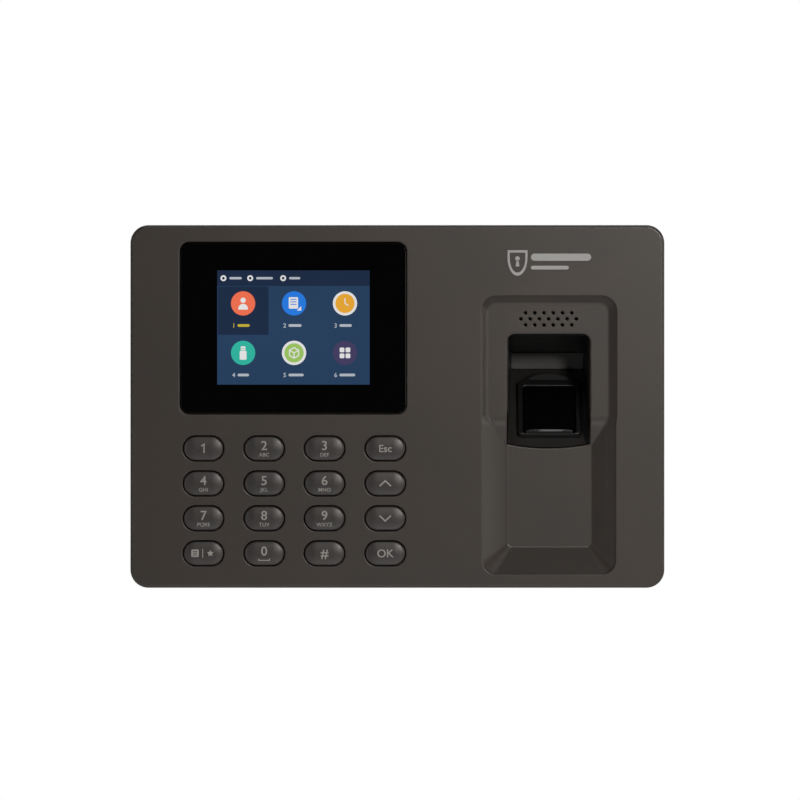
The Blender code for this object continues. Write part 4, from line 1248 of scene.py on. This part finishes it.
def mat_sheet():
    """The silicone sheet, with a hole round each of the keypad board's screws."""
    low, high = box_mm("keypad_mat")
    front = high.y - MAT_SHEET
    rect = (low.x, high.x, low.z, high.z)
    rings = []
    for inset, y in ((0.25, front), (0.07, front + 0.07), (0, front + 0.25), (0, high.y)):
        rings.append(at_depth(rounded_rect(grown(rect, -inset), MAT_CORNER - inset), y))
    sheet = solid("mat_sheet", rings)
    bm = bmesh.new()
    for number in range(1, 5):
        hole = circle(middle_of(f"keypad_screw_{number}"), MAT_SCREW_HOLE)
        loft(bm, [at_depth(hole, front - 1), at_depth(hole, high.y + 1)])
    combine(sheet, "DIFFERENCE", [new_mesh_object("screw_holes", bm)])
    settle(sheet, SILICONE, replaces="keypad_mat")
    return front


def mat_domes(front):
    """A silicone dome under each key, which its key flattens."""
    for node in KEY_NODES:
        centre = middle_of(node)
        height = front - box_mm(node)[1].y - GAP
        rings = []
        for radius, share in DOME:
            rings.append(at_depth(circle(centre, radius, 32), front + 0.02 - height * share))
        dome = solid(f"mat_dome_{node}", rings)
        settle(dome, SILICONE, angle=50)
        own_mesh(dome)


# ---------------------------------------------------------------- pieces kept from the CAD


def dress(node, material, edge=0.12):
    """A CAD node's finish: its material, slightly rounded edges and clean shading."""
    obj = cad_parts[node]
    for place in obj.material_slots:
        place.link = "OBJECT"
        place.material = material
    weld = obj.modifiers.new("weld", "WELD")
    weld.merge_threshold = 1e-6
    if edge:
        bevel = obj.modifiers.new("edges", "BEVEL")
        bevel.width = edge * MM
        bevel.segments = 2
        bevel.limit_method = "ANGLE"
        bevel.angle_limit = math.radians(40)
        bevel.harden_normals = False
    weighted = obj.modifiers.new("weighted_normals", "WEIGHTED_NORMAL")
    weighted.weight = 100


def dress_all():
    dress("rear_cover", REAR, 0.25)
    dress("wall_bracket", ZINC, 0.15)
    for number in range(1, 5):
        dress(f"cover_screw_{number}", STEEL, 0.08)
        dress(f"board_screw_{number}", STEEL, 0.06)
        dress(f"keypad_screw_{number}", STEEL, 0.0)
    dress("lock_screw", STEEL, 0.08)
    for node in ("ethernet_jack", "usb_port", "lcd_frame", "processor_shield"):
        dress(node, NICKEL)
    dress("coin_cell", STEEL)
    for node in ("dc_jack", "coin_cell_holder", "tamper_switch", "sensor_camera", "speaker"):
        dress(node, BLACK)
    dress("speaker_gasket", FOAM, 0.0)
    for node in ("main_board", "keypad_board", "sensor_board"):
        dress(node, BOARD)
    dress("terminal_block", TERMINAL)
    dress("tamper_plunger", BUTTON, 0.1)
    dress("lcd_panel", LENS)
    dress("lcd_ribbon", RIBBON, 0.0)


def rear_label():
    """A blank rating plate above the bracket, with ruled fields and a code block of plain squares."""
    high = box_mm("rear_cover")[1]
    z = (box_mm("wall_bracket")[1].z + 2.6, high.z - 4.4)
    x = (-LABEL_HALF_WIDTH, LABEL_HALF_WIDTH)
    back = high.y
    plate = flat_shape([rounded_rect((*x, *z), 1.0, 5)])
    rear = printed("rear_label", plate, lambda x, z: back, film=-0.06, root=-0.02)
    settle(rear, LABEL)
    middle = (z[0] + z[1]) / 2
    shapes = []
    for row, width in ((2.4, 18.0), (0.8, 22.0), (-0.8, 15.0), (-2.4, 20.0)):
        shapes.append(filled(bar((-x[0] - 3.0 - width / 2, middle + row), width, 0.6)))
    for column in range(CODE_SQUARES):
        for row in range(CODE_SQUARES):
            if (column * column + 3 * row + column * row) % 5 < 2 or 0 in (column, row):
                cx, cz = x[0] + 4.0 + column * CODE_PITCH, middle + (row - 4) * CODE_PITCH
                square = (cx - 0.3, cx + 0.3, cz - 0.3, cz + 0.3)
                shapes.append(filled(rounded_rect(square, 0.02, 1)))
    marks = printed("rear_label_marks", gather(shapes), lambda x, z: back, film=-0.075, root=-0.055)
    settle(marks, INK)


# ---------------------------------------------------------------- stage, light and camera


WARM = (1.0, 0.965, 0.925)
WHITE = (1.0, 1.0, 1.0)
FLOOR_GLOW = 0.95
FLOOR_LEVEL = -0.25
WORLD_LIGHT = 0.02
FRAME_WIDTH = 257.04
VIEW_CENTRE = (0.84, 2.06)

# Each soft box: name, place and size in metres, power and colour
LIGHTS = (
    ("main_high_right", (0.30, -0.85, 0.26), (0.10, 0.10), 2.5, WARM),
    ("right_side", (1.2, -0.14, 0.1), (0.45, 0.8), 3.1, WARM),
    ("left_rim", (-0.95, -0.8, 0.1), (0.05, 0.8), 0.5, WHITE),
    ("left_strip", (-0.62, -0.9, 0.1), (0.06, 0.8), 0.45, WHITE),
    ("left_side", (-1.2, -0.2, 0.1), (0.5, 0.8), 0.3, WHITE),
    ("low_front", (0.04, -0.34, -0.2), (0.2, 0.04), 0.06, WHITE),
    ("top_front", (0.1, -0.7, 0.75), (0.8, 0.3), 0.9, WHITE),
    ("top_back", (0.1, 0.35, 0.9), (0.9, 0.5), 3.0, WHITE),
    ("back_fill", (-0.4, 1.3, 0.5), (1.0, 1.0), 8, WHITE),
)


def area_light(name, place, size, power, colour):
    """A soft box at place, facing the object."""
    data = bpy.data.lights.new(name, "AREA")
    data.shape = "RECTANGLE"
    data.size, data.size_y = size
    data.energy = power
    data.color = colour
    obj = bpy.data.objects.new(name, data)
    obj.location = place
    toward = Vector((0, -0.02, 0)) - obj.location
    obj.rotation_euler = toward.to_track_quat("-Z", "Y").to_euler()
    bpy.context.scene.collection.objects.link(obj)


def studio():
    """A white world that only the camera sees, a little light all round, and the soft boxes."""
    world = bpy.data.worlds.new("studio")
    bpy.context.scene.world = world
    world.use_nodes = True
    tree = world.node_tree
    tree.nodes.clear()
    output = tree.nodes.new("ShaderNodeOutputWorld")
    mix = tree.nodes.new("ShaderNodeMixShader")
    path = tree.nodes.new("ShaderNodeLightPath")
    seen = tree.nodes.new("ShaderNodeBackground")
    seen.inputs["Color"].default_value = (1, 1, 1, 1)
    light = tree.nodes.new("ShaderNodeBackground")
    light.inputs["Color"].default_value = (1, 1, 1, 1)
    light.inputs["Strength"].default_value = WORLD_LIGHT
    tree.links.new(path.outputs["Is Camera Ray"], mix.inputs["Fac"])
    tree.links.new(light.outputs["Background"], mix.inputs[1])
    tree.links.new(seen.outputs["Background"], mix.inputs[2])
    tree.links.new(mix.outputs["Shader"], output.inputs["Surface"])
    for name, place, size, power, colour in LIGHTS:
        area_light(name, place, size, power, colour)


def floor():
    """A pale floor well below the wall-mounted terminal."""
    bm = bmesh.new()
    bmesh.ops.create_grid(bm, x_segments=8, y_segments=8, size=2.0)
    obj = new_mesh_object("floor", bm)
    obj.location = (0, 0, FLOOR_LEVEL)
    material, shader, add, feed = new_material("pale_floor")
    mottle = add("TexNoise", Scale=3.0, Detail=4.0).outputs["Fac"]
    tone = two_tone(add, mottle, (0.80, 0.80, 0.80), (1.0, 1.075))
    feed(shader, "Base Color", tone)
    feed(shader, "Roughness", 0.7)
    glow = add("Emission", Strength=FLOOR_GLOW, Color=tone)
    mix = add("MixShader", Fac=add("LightPath").outputs["Is Camera Ray"])
    tree = material.node_tree
    tree.links.new(shader.outputs["BSDF"], mix.inputs[1])
    tree.links.new(glow.outputs["Emission"], mix.inputs[2])
    tree.links.new(mix.outputs["Shader"], tree.nodes["Material Output"].inputs["Surface"])
    obj.data.materials.append(material)


def camera():
    """Straight on from far away, so that the sides and the sensor chamber look undistorted."""
    data = bpy.data.cameras.new("camera")
    data.lens = 400.0
    data.sensor_width = 36.0
    obj = bpy.data.objects.new("camera", data)
    distance = FRAME_WIDTH * data.lens / data.sensor_width
    obj.location = Vector((VIEW_CENTRE[0], FACE - distance, VIEW_CENTRE[1])) * MM
    obj.rotation_euler = (math.radians(90), 0, 0)
    data.clip_start = 0.1
    data.clip_end = 50.0
    bpy.context.scene.collection.objects.link(obj)
    bpy.context.scene.camera = obj


bpy.context.scene.view_settings.view_transform = "Standard"
front_shell()
chamber()
chamber_back_panel()
sensor_housing()
sensor_hood()
sensor_glass()
keys()
display_lens()
display_picture()
emblem()
mat_domes(mat_sheet())
rear_label()
dress_all()
studio()
floor()
camera()
